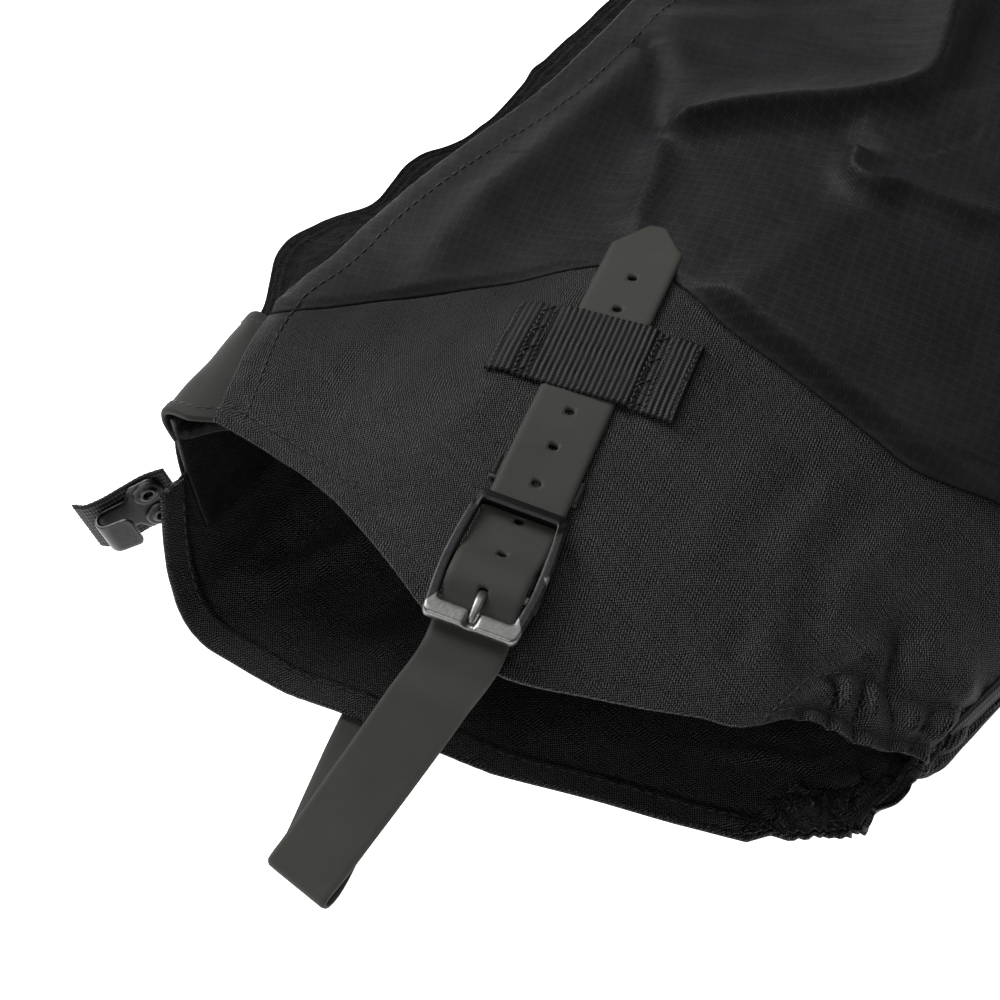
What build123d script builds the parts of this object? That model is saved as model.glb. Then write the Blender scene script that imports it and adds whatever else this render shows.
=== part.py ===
"""Left-leg hiking gaiter lying on its inner (medial) side, lateral side up.

+Y runs up the leg, -X is the front (shin) and +X the heel, Z=0 is the surface it lies on.
The leg tube is described by one ring of wall points that changes along Y. Every sewn layer is a
strip of that wall between two ring positions and two depths, trimmed by outlines seen from above.
"""

import math
import os

from build123d import *

os.makedirs("parts", exist_ok=True)

# ---------------------------------------------------------------- driving dimensions (mm)
fabric = 1.0  # wall stand-in for a fabric layer
facing = 0.8  # folded hem, casing and binding layers
tape = 1.2  # hook tape and loop tape
touch_gap = 0.4  # clearance between the flap and what it closes on
hem_width = 8.0
casing_width = 20.0
flap_reach = 30.0  # how far the underflap runs under the flap
slit = 0.4  # half gap in the fabric at the flap's hinge line

strap_width = 20.0
strap_thick = 1.6
hole_pitch = 13.0
hole_radius = 1.3
strap_heading = 23.5  # degrees the strap leans from the leg direction

frame_width = 27.5
frame_thick = 2.4
window_width = 21.6
low_end = 17.5  # bar axis to the frame's lower edge
high_end = 25.5  # bar axis to the frame's upper edge
bar_radius = 1.2
bar_drop = 1.8  # bar axis below the frame's middle plane
ring_radius = 2.1
bar_fit = 0.06  # radial clearance of prong on bar

hook_heading = 27.0  # degrees the lace hook points outward from the leg direction
webbing_thick = 1.4
hook_sheet = 1.0
hook_gap = 4.5
rivet_radius = 4.2

# ---------------------------------------------------------------- the wall's ring along Y
LEG_LOW, LEG_HIGH = -196.0, 214.0
# y, floor front x, front edge x, front edge z, crown height, back x, rise over the strap's end
FLAT = 0.05  # what is left of the rise away from the strap's end
STATIONS = [
    (LEG_LOW, -65, -79.0, 57, 65.5, 114, strap_thick),
    (-156, -65, -80.0, 57, 65.5, 114, strap_thick),
    (-128, -69, -85.0, 55, 65.2, 115, strap_thick),
    (-108, -71, -88.0, 54, 65.0, 116, FLAT),
    (-18, -87, -100.0, 47, 60.0, 117, FLAT),
    (56, -102, -113.0, 40, 52.0, 118, FLAT),
    (142, -104, -115.0, 36, 47.0, 117, FLAT),
    (LEG_HIGH, -98, -109.0, 33, 42.0, 113, FLAT),
]
HINGE_LOW = (-42.0, -156.0, 62.5)
HINGE_HIGH = (-70.0, 214.0, 38.0)
# ring positions by name
FLOOR_FRONT, WALL_TOP, FRONT_EDGE, HINGE, BACK_SEAM = 1.0, 4.0, 5.0, 6.0, 11.0


def along_hinge(y):
    """x and z of the straight flap hinge line at a given y."""
    share = (y - HINGE_LOW[1]) / (HINGE_HIGH[1] - HINGE_LOW[1])
    x = HINGE_LOW[0] + share * (HINGE_HIGH[0] - HINGE_LOW[0])
    z = HINGE_LOW[2] + share * (HINGE_HIGH[2] - HINGE_LOW[2])
    return x, z


def ring(station):
    """Outer wall points as (x, z), once round the tube, starting on the floor near the front."""
    y, floor_x, edge_x, edge_z, crown, back_x, rise = station
    return [
        (floor_x + 30, 0.0),
        (floor_x + 12, 0.0),
        (floor_x + 2, 4.0),
        (floor_x - 2.5, 12.0),
        (edge_x + 1.5, edge_z - 10.0),
        (edge_x, edge_z),
        along_hinge(y),
        (-15.0, crown),
        (20.0, crown * 0.955),
        (60.0, crown * 0.79),
        (95.0, crown * 0.55),
        (back_x, 12.0),
        (back_x - 4.0, 3.0),
        (back_x - 14.0, 0.0),
        (32.0, 0.0),
        (22.0, rise),
        (-18.0, rise),
        (-26.0, 0.0),
    ]


def inward(points, depth):
    """The ring moved inward by depth, corners mitred."""
    moved = []
    for here in range(len(points)):
        before = points[here - 1]
        point = points[here]
        after = points[(here + 1) % len(points)]
        first = Vector(point[0] - before[0], point[1] - before[1]).normalized()
        second = Vector(after[0] - point[0], after[1] - point[1]).normalized()
        mitre = Vector(first.Y, -first.X) + Vector(second.Y, -second.X)
        mitre = mitre.normalized()
        stretch = depth / max(0.4, mitre.dot(Vector(first.Y, -first.X)))
        moved.append((point[0] + mitre.X * stretch, point[1] + mitre.Y * stretch))
    return moved


def at_position(points, position):
    """A point at a whole or fractional ring position."""
    low = int(math.floor(position)) % len(points)
    share = position - math.floor(position)
    start, end = points[low], points[(low + 1) % len(points)]
    return (start[0] + share * (end[0] - start[0]), start[1] + share * (end[1] - start[1]))


def wall_sections(first, last, outer, inner, stations=STATIONS):
    """Cross-sections of the wall from ring position first to last, between two depths."""
    positions = [first]
    whole = math.floor(first) + 1
    while whole < last - 1e-6:
        positions.append(float(whole))
        whole += 1
    positions.append(last)
    sections = []
    for station in stations:
        outside = inward(ring(station), outer)
        inside = inward(ring(station), inner)
        loop = [at_position(outside, p) for p in positions]
        loop += [at_position(inside, p) for p in reversed(positions)]
        section_plane = Plane(origin=(0, station[0], 0), x_dir=(1, 0, 0), z_dir=(0, -1, 0))
        with BuildSketch(section_plane) as section:
            with BuildLine():
                Polyline(*loop, close=True)
            make_face()
        sections.append(section.sketch)
    return sections


def between(lower, upper):
    """Sketch of the area between two outlines that run from the front to the heel."""
    with BuildSketch(Plane.XY) as area:
        with BuildLine():
            Polyline(*lower, *reversed(upper), close=True)
        make_face()
    return area.sketch


def moved_up(outline, distance):
    return [(x, y + distance) for x, y in outline]


# ---------------------------------------------------------------- outlines seen from above
OUT_LEFT, OUT_RIGHT = -150.0, 150.0
lateral_hem = [(OUT_LEFT, -156), (-80, -156), (-60, -151), (-35, -150), (-7, -155), (20, -160)]
lateral_hem += [(41, -159), (60, -144), (78, -128), (93, -115), (108, -103), (OUT_RIGHT, -96)]
medial_hem = [(OUT_LEFT, -150), (-80, -156), (-65, -176), (-40, -173), (-8, -166)]
medial_hem += [(25, -154), (55, -139), (82, -126), (112, -108), (OUT_RIGHT, -96)]
panel_seam = [(OUT_LEFT, -120), (-95, -110), (-60, -68), (-35, -34), (-15, -19), (10, -18)]
panel_seam += [(30, -22), (55, -26), (83, -14), (118, -8), (OUT_RIGHT, -2)]
top_edge = [(OUT_LEFT, LEG_HIGH), (OUT_RIGHT, LEG_HIGH)]
casing_edge = moved_up(top_edge, -casing_width)
gather_start = 76.0
DEEP = 90.0

# ---------------------------------------------------------------- lateral panels
with BuildPart() as lateral_lower_panel:
    loft(wall_sections(HINGE + 0.012, BACK_SEAM, 0, fabric), ruled=True)
    extrude(between(lateral_hem, panel_seam), amount=DEEP, mode=Mode.INTERSECT)
lateral_lower_panel.part.label = "lateral_lower_panel"

with BuildPart() as lateral_upper_panel:
    loft(wall_sections(HINGE + 0.012, BACK_SEAM, 0, fabric), ruled=True)
    extrude(between(panel_seam, top_edge), amount=DEEP, mode=Mode.INTERSECT)
lateral_upper_panel.part.label = "lateral_upper_panel"

# ---------------------------------------------------------------- medial panels
AROUND = 18  # ring positions in one turn
with BuildPart() as medial_lower_panel:
    loft(wall_sections(BACK_SEAM, AROUND + WALL_TOP, 0, fabric), ruled=True)
    extrude(between(medial_hem, panel_seam), amount=DEEP, mode=Mode.INTERSECT)
medial_lower_panel.part.label = "medial_lower_panel"

with BuildPart() as medial_upper_panel:
    loft(wall_sections(BACK_SEAM, AROUND + WALL_TOP, 0, fabric), ruled=True)
    extrude(between(panel_seam, top_edge), amount=DEEP, mode=Mode.INTERSECT)
medial_upper_panel.part.label = "medial_upper_panel"

# ---------------------------------------------------------------- front closure, fixed side
flap_depth = fabric + tape  # flap fabric and the hook tape under it
loop_top = flap_depth + touch_gap
underflap_top = loop_top + tape
underflap_end = HINGE - 0.2
with BuildPart() as loop_tape:
    loft(wall_sections(FRONT_EDGE, underflap_end, loop_top, underflap_top), ruled=True)
    extrude(between(lateral_hem, top_edge), amount=DEEP, mode=Mode.INTERSECT)
loop_tape.part.label = "loop_tape"

with BuildPart() as front_underflap:
    loft(wall_sections(FRONT_EDGE, underflap_end, underflap_top, underflap_top + fabric), ruled=True)
    extrude(between(lateral_hem, top_edge), amount=DEEP, mode=Mode.INTERSECT)
front_underflap.part.label = "front_underflap"

with BuildPart() as front_wall_tape:
    loft(wall_sections(WALL_TOP, FRONT_EDGE - 0.32, 0.8, 0.8 + tape + fabric), ruled=True)
    extrude(between(medial_hem, top_edge), amount=DEEP, mode=Mode.INTERSECT)
front_wall_tape.part.label = "front_wall_tape"

# ---------------------------------------------------------------- hems, heel elastic, casings
with BuildPart() as lateral_hem_facing:
    loft(wall_sections(HINGE + 0.012, BACK_SEAM, fabric, fabric + facing), ruled=True)
    extrude(between(lateral_hem, moved_up(lateral_hem, hem_width)), amount=DEEP, mode=Mode.INTERSECT)
    split(bisect_by=Plane.YZ.offset(gather_start), keep=Keep.BOTTOM)
lateral_hem_facing.part.label = "lateral_hem_facing"

with BuildPart() as medial_hem_facing:
    loft(wall_sections(BACK_SEAM, AROUND + WALL_TOP, fabric, fabric + facing), ruled=True)
    extrude(between(medial_hem, moved_up(medial_hem, hem_width)), amount=DEEP, mode=Mode.INTERSECT)
    split(bisect_by=Plane.YZ.offset(gather_start), keep=Keep.BOTTOM)
medial_hem_facing.part.label = "medial_hem_facing"

LATERAL_HEEL = 9.2
MEDIAL_HEEL = BACK_SEAM + 2.2


def heel_band(outline, first, last, outer, inner):
    """Part of the heel gather on one side of the back seam."""
    with BuildPart() as band:
        loft(wall_sections(first, last, outer, inner), ruled=True)
        extrude(between(outline, moved_up(outline, casing_width)), amount=DEEP, mode=Mode.INTERSECT)
        split(bisect_by=Plane.YZ.offset(gather_start), keep=Keep.TOP)
    return band.part


elastic_in = fabric + facing
casing_in = elastic_in + facing
with BuildPart() as heel_elastic:
    add(heel_band(lateral_hem, LATERAL_HEEL, BACK_SEAM, fabric, elastic_in))
    add(heel_band(medial_hem, BACK_SEAM, MEDIAL_HEEL, fabric, elastic_in))
heel_elastic.part.label = "heel_elastic"

with BuildPart() as heel_casing:
    add(heel_band(lateral_hem, LATERAL_HEEL, BACK_SEAM, elastic_in, casing_in))
    add(heel_band(medial_hem, BACK_SEAM, MEDIAL_HEEL, elastic_in, casing_in))
heel_casing.part.label = "heel_casing"

with BuildPart() as back_seam_binding:
    loft(wall_sections(BACK_SEAM - 0.25, BACK_SEAM + 0.8, fabric, fabric + facing), ruled=True)
    extrude(
        between([(OUT_LEFT, -75), (OUT_RIGHT, -75)], casing_edge), amount=DEEP, mode=Mode.INTERSECT
    )
back_seam_binding.part.label = "back_seam_binding"

with BuildPart() as lateral_top_casing:
    loft(wall_sections(HINGE + 0.012, BACK_SEAM, fabric, fabric + facing), ruled=True)
    extrude(between(casing_edge, top_edge), amount=DEEP, mode=Mode.INTERSECT)
lateral_top_casing.part.label = "lateral_top_casing"

with BuildPart() as medial_top_casing:
    loft(wall_sections(BACK_SEAM, AROUND + WALL_TOP, fabric, fabric + facing), ruled=True)
    extrude(between(casing_edge, top_edge), amount=DEEP, mode=Mode.INTERSECT)
medial_top_casing.part.label = "medial_top_casing"

# ---------------------------------------------------------------- front closure, moving flap
FLAP_START, FLAP_END = FRONT_EDGE, HINGE - 0.012
with BuildPart() as flap_lower_panel:
    loft(wall_sections(FLAP_START, FLAP_END, 0, fabric), ruled=True)
    extrude(between(lateral_hem, panel_seam), amount=DEEP, mode=Mode.INTERSECT)
flap_lower_panel.part.label = "flap_lower_panel"

with BuildPart() as flap_upper_panel:
    loft(wall_sections(FLAP_START, FLAP_END, 0, fabric), ruled=True)
    extrude(between(panel_seam, top_edge), amount=DEEP, mode=Mode.INTERSECT)
flap_upper_panel.part.label = "flap_upper_panel"

with BuildPart() as hook_tape:
    loft(wall_sections(FLAP_START + 0.1, FLAP_END - 0.22, fabric, fabric + tape), ruled=True)
    extrude(
        between(moved_up(lateral_hem, hem_width), casing_edge), amount=DEEP, mode=Mode.INTERSECT
    )
hook_tape.part.label = "hook_tape"

with BuildPart() as flap_hem_facing:
    loft(wall_sections(FLAP_START, FLAP_END, fabric, fabric + facing), ruled=True)
    extrude(between(lateral_hem, moved_up(lateral_hem, hem_width)), amount=DEEP, mode=Mode.INTERSECT)
flap_hem_facing.part.label = "flap_hem_facing"

with BuildPart() as flap_top_casing:
    loft(wall_sections(FLAP_START, FLAP_END, fabric, fabric + facing), ruled=True)
    extrude(between(casing_edge, top_edge), amount=DEEP, mode=Mode.INTERSECT)
flap_top_casing.part.label = "flap_top_casing"

# coated pull tab, sewn on the flap's lower front corner and lapping over the front edge
tab_from, tab_to = -155.0, -117.0
with BuildPart() as closure_tab:
    loft(wall_sections(FRONT_EDGE - 0.85, FRONT_EDGE + 0.28, -1.5, -0.3), ruled=True)
    extrude(
        between([(OUT_LEFT, tab_from), (OUT_RIGHT, tab_from)], [(OUT_LEFT, tab_to), (OUT_RIGHT, tab_to)]),
        amount=DEEP,
        mode=Mode.INTERSECT,
    )
closure_tab.part.label = "closure_tab"

# ---------------------------------------------------------------- instep strap frame
lean = math.radians(strap_heading)
BAR_POINT = Vector(24.9, -146.2, 68.0)
UP_STRAP = Vector(-math.sin(lean), math.cos(lean), 0)
BUCKLE_ROLL = -0.14


def across(roll):
    """Unit vector over the strap's width, with a slope in z."""
    return Vector(math.cos(lean), math.sin(lean), roll).normalized()


def strap_place(travel, height, roll):
    """Plane across the strap at a distance up the strap from the buckle bar."""
    centre = BAR_POINT + UP_STRAP * travel + Vector(0, 0, height)
    return Plane(origin=centre, x_dir=across(roll), z_dir=UP_STRAP)


buckle_plane = Plane(origin=BAR_POINT, x_dir=across(BUCKLE_ROLL), z_dir=across(BUCKLE_ROLL).cross(UP_STRAP))


def band_section(place, width=strap_width, thick=strap_thick):
    with BuildSketch(place) as section:
        Rectangle(width, thick)
    return section.sketch


# distance from the bar, height over the buckle plane, sideways roll
tail_run = [(136, -7.6, 0.08), (96, -4.2, 0.02), (70, -3.6, -0.05), (43, -2.4, BUCKLE_ROLL)]
tail_run += [(18.5, -2.4, BUCKLE_ROLL), (3.0, 1.6, BUCKLE_ROLL), (-3.0, 1.6, BUCKLE_ROLL)]
strap_low = (-18.0, -4.8)
tail_run += [(-11.8, -3.8, BUCKLE_ROLL), (*strap_low, BUCKLE_ROLL)]
FOLD_X, FOLD_Y, FOLD_RADIUS = 19.5, -209.0, 2.6
fold_across = Vector(1, 0, 0)
with BuildPart() as instep_strap:
    sections = [band_section(strap_place(*step)) for step in tail_run]
    for share in (0.45, 0.9):
        low = Vector(FOLD_X, FOLD_Y, 2 * FOLD_RADIUS + strap_thick / 2)
        high = BAR_POINT + UP_STRAP * strap_low[0] + Vector(0, 0, strap_low[1])
        spot = high + (low - high) * share
        side = across(BUCKLE_ROLL) * (1 - share) + fold_across * share
        sections.append(band_section(Plane(origin=spot, x_dir=side, z_dir=(high - low).normalized())))
    for turn in (30, 75, 120, 165):
        angle = math.radians(turn)
        centre = Vector(
            FOLD_X,
            FOLD_Y - FOLD_RADIUS * math.sin(angle),
            strap_thick / 2 + FOLD_RADIUS + FOLD_RADIUS * math.cos(angle),
        )
        facing_way = Vector(0, math.cos(angle), math.sin(angle))
        sections.append(band_section(Plane(origin=centre, x_dir=fold_across, z_dir=facing_way)))
    for x, y in ((16.5, -200.0), (3.0, -170.0), (-8.0, -143.0)):
        under = Plane(origin=(x, y, strap_thick / 2), x_dir=across(0), z_dir=-UP_STRAP)
        sections.append(band_section(under))
    loft(sections, ruled=True)
    tip_cut = 6.0
    with BuildSketch(buckle_plane.offset(-15)) as tip_corners:
        for side in (-1, 1):
            with BuildLine():
                Polyline(
                    (side * 3.5, 137), (side * 11, 137), (side * 11, 136 - 2 * tip_cut), (side * 3.5, 137)
                )
            make_face()
    extrude(amount=30, mode=Mode.SUBTRACT)
    with BuildSketch(buckle_plane.offset(-12)) as punched:
        with Locations(*[(0, -4 + hole_pitch * k) for k in range(1, 10)]):
            Circle(hole_radius)
        with Locations((0, -3.2)):
            SlotOverall(10.5, 3.6, rotation=90)
    extrude(amount=24, mode=Mode.SUBTRACT)
instep_strap.part.label = "instep_strap"

# ---------------------------------------------------------------- buckle
with BuildPart() as buckle_frame:
    with BuildSketch(buckle_plane.offset(-frame_thick / 2)) as outline:
        with BuildLine():
            low_half, high_half, belly = 12.2, 11.8, frame_width / 2
            left_low = (-low_half, -low_end)
            right_low = (low_half, -low_end)
            right_high = (high_half, high_end)
            left_high = (-high_half, high_end)
            Line(left_low, right_low)
            ThreePointArc(right_low, (belly, 3.0), right_high)
            Line(right_high, left_high)
            ThreePointArc(left_high, (-belly, 3.0), left_low)
        make_face()
        fillet(outline.vertices(), 1.6)
    extrude(amount=frame_thick)
    with BuildSketch(buckle_plane.offset(-frame_thick / 2)) as window:
        with BuildLine():
            half = window_width / 2
            Line((-half + 0.5, -low_end + 5.2), (half - 0.5, -low_end + 5.2))
            ThreePointArc((half - 0.5, -low_end + 5.2), (half + 0.3, 3.0), (half - 0.5, high_end - 4.6))
            Line((half - 0.5, high_end - 4.6), (-half + 0.5, high_end - 4.6))
            ThreePointArc((-half + 0.5, high_end - 4.6), (-half - 0.3, 3.0), (-half + 0.5, -low_end + 5.2))
        make_face()
    extrude(amount=frame_thick, mode=Mode.SUBTRACT)
    # lugs that drop from the side rails to carry the bar
    with BuildSketch(buckle_plane.offset(-bar_drop - bar_radius - 0.6)) as lugs:
        with Locations((-window_width / 2 - 1.5, 0), (window_width / 2 + 1.5, 0)):
            Rectangle(2.0, 4.4)
    extrude(amount=bar_drop + bar_radius + 0.6 - frame_thick / 2)
    # seat for the prong's tip in the lower bar
    with BuildSketch(buckle_plane.offset(0.1)) as seat:
        with Locations((0, -low_end + 3.4)):
            Rectangle(3.2, 3.8)
    extrude(amount=2.0, mode=Mode.SUBTRACT)
    bar_axis = Plane(
        origin=buckle_plane.from_local_coords((0, 0, -bar_drop)),
        x_dir=buckle_plane.y_dir,
        z_dir=buckle_plane.x_dir,
    )
    with BuildSketch(bar_axis.offset(-window_width / 2 - 3)) as bar_hole:
        Circle(bar_radius)
    extrude(amount=window_width + 6, mode=Mode.SUBTRACT)
buckle_frame.part.label = "buckle_frame"

with BuildPart() as buckle_bar:
    with BuildSketch(bar_axis.offset(-window_width / 2 - 2.4)) as bar_round:
        Circle(bar_radius)
    extrude(amount=window_width + 4.8)
buckle_bar.part.label = "buckle_bar"

with BuildPart() as buckle_prong:
    prong_side = Plane(origin=buckle_plane.origin, x_dir=buckle_plane.y_dir, z_dir=buckle_plane.x_dir)
    with BuildSketch(prong_side.offset(-1.2)) as prong_profile:
        with Locations((0, -bar_drop)):
            Circle(ring_radius)
        with BuildLine():
            Polyline(
                (-0.4, 0.55), (-8.0, 2.9), (-11.0, 2.9), (-15.6, 1.35), (-15.6, 0.35),
                (-12.0, 0.75), (-8.5, 1.5), (-1.4, -1.9), close=True,
            )
        make_face()
        with Locations((0, -bar_drop)):
            Circle(bar_radius + bar_fit, mode=Mode.SUBTRACT)
    extrude(amount=2.4)
buckle_prong.part.label = "buckle_prong"

# fabric loop round the bar, in two legs beside the prong, sewn down above the buckle
with BuildPart() as buckle_anchor_tab:
    loop_in, loop_out = bar_radius + 0.3, bar_radius + 0.3 + 0.9
    for side in (-1, 1):
        leg_start = 2.2 if side > 0 else -9.7
        with BuildSketch(prong_side.offset(leg_start)) as leg:
            with Locations((0, -bar_drop)):
                Circle(loop_out)
            with Locations((17.5, -bar_drop - loop_out + 0.5)):
                Rectangle(35, 1.0)
            with Locations((0, -bar_drop)):
                Circle(loop_in, mode=Mode.SUBTRACT)
        extrude(amount=7.5)
    with BuildSketch(prong_side.offset(-11.5)) as sewn_end:
        with Locations((37.5, -bar_drop - loop_out + 0.5)):
            Rectangle(7, 1.0)
    extrude(amount=23)
buckle_anchor_tab.part.label = "buckle_anchor_tab"

# ---------------------------------------------------------------- keeper
keeper_middle = BAR_POINT + UP_STRAP * 82.0 + Vector(0, 0, -3.9)
keeper_plane = Plane(origin=keeper_middle, x_dir=across(0), z_dir=-UP_STRAP)
KEEPER_HALF, KEEPER_WIDTH = 26.5, 21.0
with BuildPart() as strap_keeper:
    with BuildSketch(keeper_plane.offset(-KEEPER_WIDTH / 2)) as keeper_profile:
        with BuildLine():
            Polyline(
                (-KEEPER_HALF, -2.1), (-20, -1.1), (-12.0, -0.2), (-10.8, 1.3), (10.8, 1.3),
                (12.0, -1.9), (20, -3.2), (KEEPER_HALF, -4.1), (KEEPER_HALF, -2.8), (20, -1.9),
                (13.2, -0.4), (11.8, 2.6), (-11.8, 2.6), (-13.2, 1.1), (-20, 0.2),
                (-KEEPER_HALF, -0.8), close=True,
            )
        make_face()
    extrude(amount=KEEPER_WIDTH)
strap_keeper.part.label = "strap_keeper"

# ---------------------------------------------------------------- patch inside over the strap's end
with BuildPart() as strap_anchor_patch:
    patch_plane = Plane(origin=(-5, -141, strap_thick + fabric), x_dir=across(0), z_dir=(0, 0, 1))
    with BuildSketch(patch_plane) as patch:
        Rectangle(22, 20)
        fillet(patch.vertices(), 3)
    extrude(amount=facing)
strap_anchor_patch.part.label = "strap_anchor_patch"

# ---------------------------------------------------------------- lace hook
turn_out = math.radians(hook_heading)
hook_forward = Vector(-math.sin(turn_out), -math.cos(turn_out), 0)
hook_root = Vector(-81.5, -160.5, 33.0)
hook_plane = Plane(origin=hook_root, x_dir=hook_forward, z_dir=(0, 0, 1))
WEB_LONG, WEB_WIDE = 24.0, 20.0
with BuildPart() as lace_hook_webbing:
    with BuildSketch(hook_plane.offset(-WEB_WIDE / 2)) as web_profile:
        with BuildLine():
            Polyline(
                (0, 0), (WEB_LONG - 4, 0), (WEB_LONG, -2.5), (WEB_LONG, -2.5 - webbing_thick),
                (WEB_LONG - 4, -webbing_thick), (0, -webbing_thick), close=True,
            )
        make_face()
    extrude(amount=WEB_WIDE)
lace_hook_webbing.part.label = "lace_hook_webbing"

HOOK_WIDE = 12.0
with BuildPart() as lace_hook_plate:
    tongue_low = hook_sheet + hook_gap
    with BuildSketch(hook_plane.offset(-HOOK_WIDE / 2)) as hook_profile:
        with BuildLine() as hook_line:
            straight = Line((8.0, hook_sheet / 2), (17.5, hook_sheet / 2))
            bend = ThreePointArc(
                (17.5, hook_sheet / 2),
                (17.5 + (hook_gap + hook_sheet) / 2, (tongue_low + hook_sheet) / 2),
                (17.5, tongue_low + hook_sheet / 2),
            )
            tongue = Line((17.5, tongue_low + hook_sheet / 2), (11.0, tongue_low + hook_sheet / 2 + 0.8))
            offset(amount=hook_sheet / 2)
        make_face()
    extrude(amount=HOOK_WIDE)
    with BuildSketch(hook_plane.offset(-9.5)) as rivet_base:
        with Locations((5.0, hook_sheet / 2)):
            Rectangle(8.0, hook_sheet)
    extrude(amount=19)
lace_hook_plate.part.label = "lace_hook_plate"

with BuildPart() as lace_hook_rivets:
    through = Plane(origin=hook_root, x_dir=hook_forward, z_dir=Vector(0, 0, 1).cross(hook_forward))
    with BuildSketch(through.offset(hook_sheet)) as caps:
        with Locations((4.8, -4.9), (4.8, 4.9)):
            Circle(rivet_radius)
            Circle(1.3, mode=Mode.SUBTRACT)
    extrude(amount=0.9)
    with BuildSketch(through.offset(-webbing_thick - 0.7)) as backs:
        with Locations((4.8, -4.9), (4.8, 4.9)):
            Circle(3.2)
            Circle(1.3, mode=Mode.SUBTRACT)
    extrude(amount=0.7)
lace_hook_rivets.part.label = "lace_hook_rivets"

# ---------------------------------------------------------------- write every piece
export_step(lateral_lower_panel.part, "parts/lateral_lower_panel.step")
export_step(lateral_upper_panel.part, "parts/lateral_upper_panel.step")
export_step(medial_lower_panel.part, "parts/medial_lower_panel.step")
export_step(medial_upper_panel.part, "parts/medial_upper_panel.step")
export_step(loop_tape.part, "parts/loop_tape.step")
export_step(front_underflap.part, "parts/front_underflap.step")
export_step(front_wall_tape.part, "parts/front_wall_tape.step")
export_step(lateral_hem_facing.part, "parts/lateral_hem_facing.step")
export_step(medial_hem_facing.part, "parts/medial_hem_facing.step")
export_step(heel_elastic.part, "parts/heel_elastic.step")
export_step(heel_casing.part, "parts/heel_casing.step")
export_step(back_seam_binding.part, "parts/back_seam_binding.step")
export_step(lateral_top_casing.part, "parts/lateral_top_casing.step")
export_step(medial_top_casing.part, "parts/medial_top_casing.step")
export_step(flap_lower_panel.part, "parts/flap_lower_panel.step")
export_step(flap_upper_panel.part, "parts/flap_upper_panel.step")
export_step(hook_tape.part, "parts/hook_tape.step")
export_step(flap_hem_facing.part, "parts/flap_hem_facing.step")
export_step(flap_top_casing.part, "parts/flap_top_casing.step")
export_step(closure_tab.part, "parts/closure_tab.step")
export_step(instep_strap.part, "parts/instep_strap.step")
export_step(buckle_frame.part, "parts/buckle_frame.step")
export_step(buckle_bar.part, "parts/buckle_bar.step")
export_step(buckle_prong.part, "parts/buckle_prong.step")
export_step(buckle_anchor_tab.part, "parts/buckle_anchor_tab.step")
export_step(strap_keeper.part, "parts/strap_keeper.step")
export_step(strap_anchor_patch.part, "parts/strap_anchor_patch.step")
export_step(lace_hook_webbing.part, "parts/lace_hook_webbing.step")
export_step(lace_hook_plate.part, "parts/lace_hook_plate.step")
export_step(lace_hook_rivets.part, "parts/lace_hook_rivets.step")
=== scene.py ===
"""Looks of a hiking gaiter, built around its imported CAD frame.

The gaiter lies on its inner (medial) side: +Y up the leg, -X the shin, +X the heel, Z=0 the floor.
Shapes are worked out in millimetres and turned into metres when a mesh is made.
"""

import math

import bpy
import numpy as np
from mathutils import Matrix, Vector


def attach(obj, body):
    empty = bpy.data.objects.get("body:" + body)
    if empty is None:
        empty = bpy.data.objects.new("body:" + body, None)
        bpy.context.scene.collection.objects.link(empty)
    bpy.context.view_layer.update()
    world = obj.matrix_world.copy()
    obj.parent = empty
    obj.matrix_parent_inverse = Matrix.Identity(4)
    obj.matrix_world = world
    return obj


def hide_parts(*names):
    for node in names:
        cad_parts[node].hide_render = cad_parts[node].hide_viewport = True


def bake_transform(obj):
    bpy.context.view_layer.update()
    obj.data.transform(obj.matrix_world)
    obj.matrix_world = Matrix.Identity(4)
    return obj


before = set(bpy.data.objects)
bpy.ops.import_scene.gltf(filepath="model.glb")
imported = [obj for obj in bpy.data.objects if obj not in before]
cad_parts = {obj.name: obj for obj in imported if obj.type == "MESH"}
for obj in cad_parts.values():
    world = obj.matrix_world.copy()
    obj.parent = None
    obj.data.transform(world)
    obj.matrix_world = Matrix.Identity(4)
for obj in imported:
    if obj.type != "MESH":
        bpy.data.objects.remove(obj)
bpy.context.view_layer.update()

MM = 0.001


# ================================================================ smooth curves and noise
def smooth_values(t, knots, values):
    """Smooth curve through the rows of values at the knots, read at every t."""
    t = np.asarray(t, float)
    knots = np.asarray(knots, float)
    values = np.asarray(values, float)
    flat = values.ndim == 1
    if flat:
        values = values[:, None]
    gaps = np.diff(knots)
    slopes = np.diff(values, axis=0) / gaps[:, None]
    tangents = np.empty_like(values)
    before, after = gaps[:-1, None], gaps[1:, None]
    tangents[1:-1] = (slopes[:-1] * after + slopes[1:] * before) / (before + after)
    tangents[0], tangents[-1] = slopes[0], slopes[-1]
    cell = np.clip(np.searchsorted(knots, t) - 1, 0, len(knots) - 2)
    width = gaps[cell]
    s = np.clip((t - knots[cell]) / width, 0, 1)[..., None]
    width = width[..., None]
    result = (
        (2 * s**3 - 3 * s**2 + 1) * values[cell]
        + (s**3 - 2 * s**2 + s) * width * tangents[cell]
        + (3 * s**2 - 2 * s**3) * values[cell + 1]
        + (s**3 - s**2) * width * tangents[cell + 1]
    )
    return result[..., 0] if flat else result


def running_length(points):
    """Length along a path from its start to each of its points."""
    return np.concatenate([[0], np.cumsum(np.linalg.norm(np.diff(points, axis=0), axis=1))])


def smooth_path(points, per_step=5):
    """A given path rounded into a smooth one."""
    points = np.asarray(points, float)
    knots = running_length(points)
    samples = np.linspace(0, knots[-1], (len(points) - 1) * per_step + 1)
    return smooth_values(samples, knots, points)


def ease(value):
    """0 below 0, 1 above 1, smooth between."""
    value = np.clip(value, 0, 1)
    return value * value * (3 - 2 * value)


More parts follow.
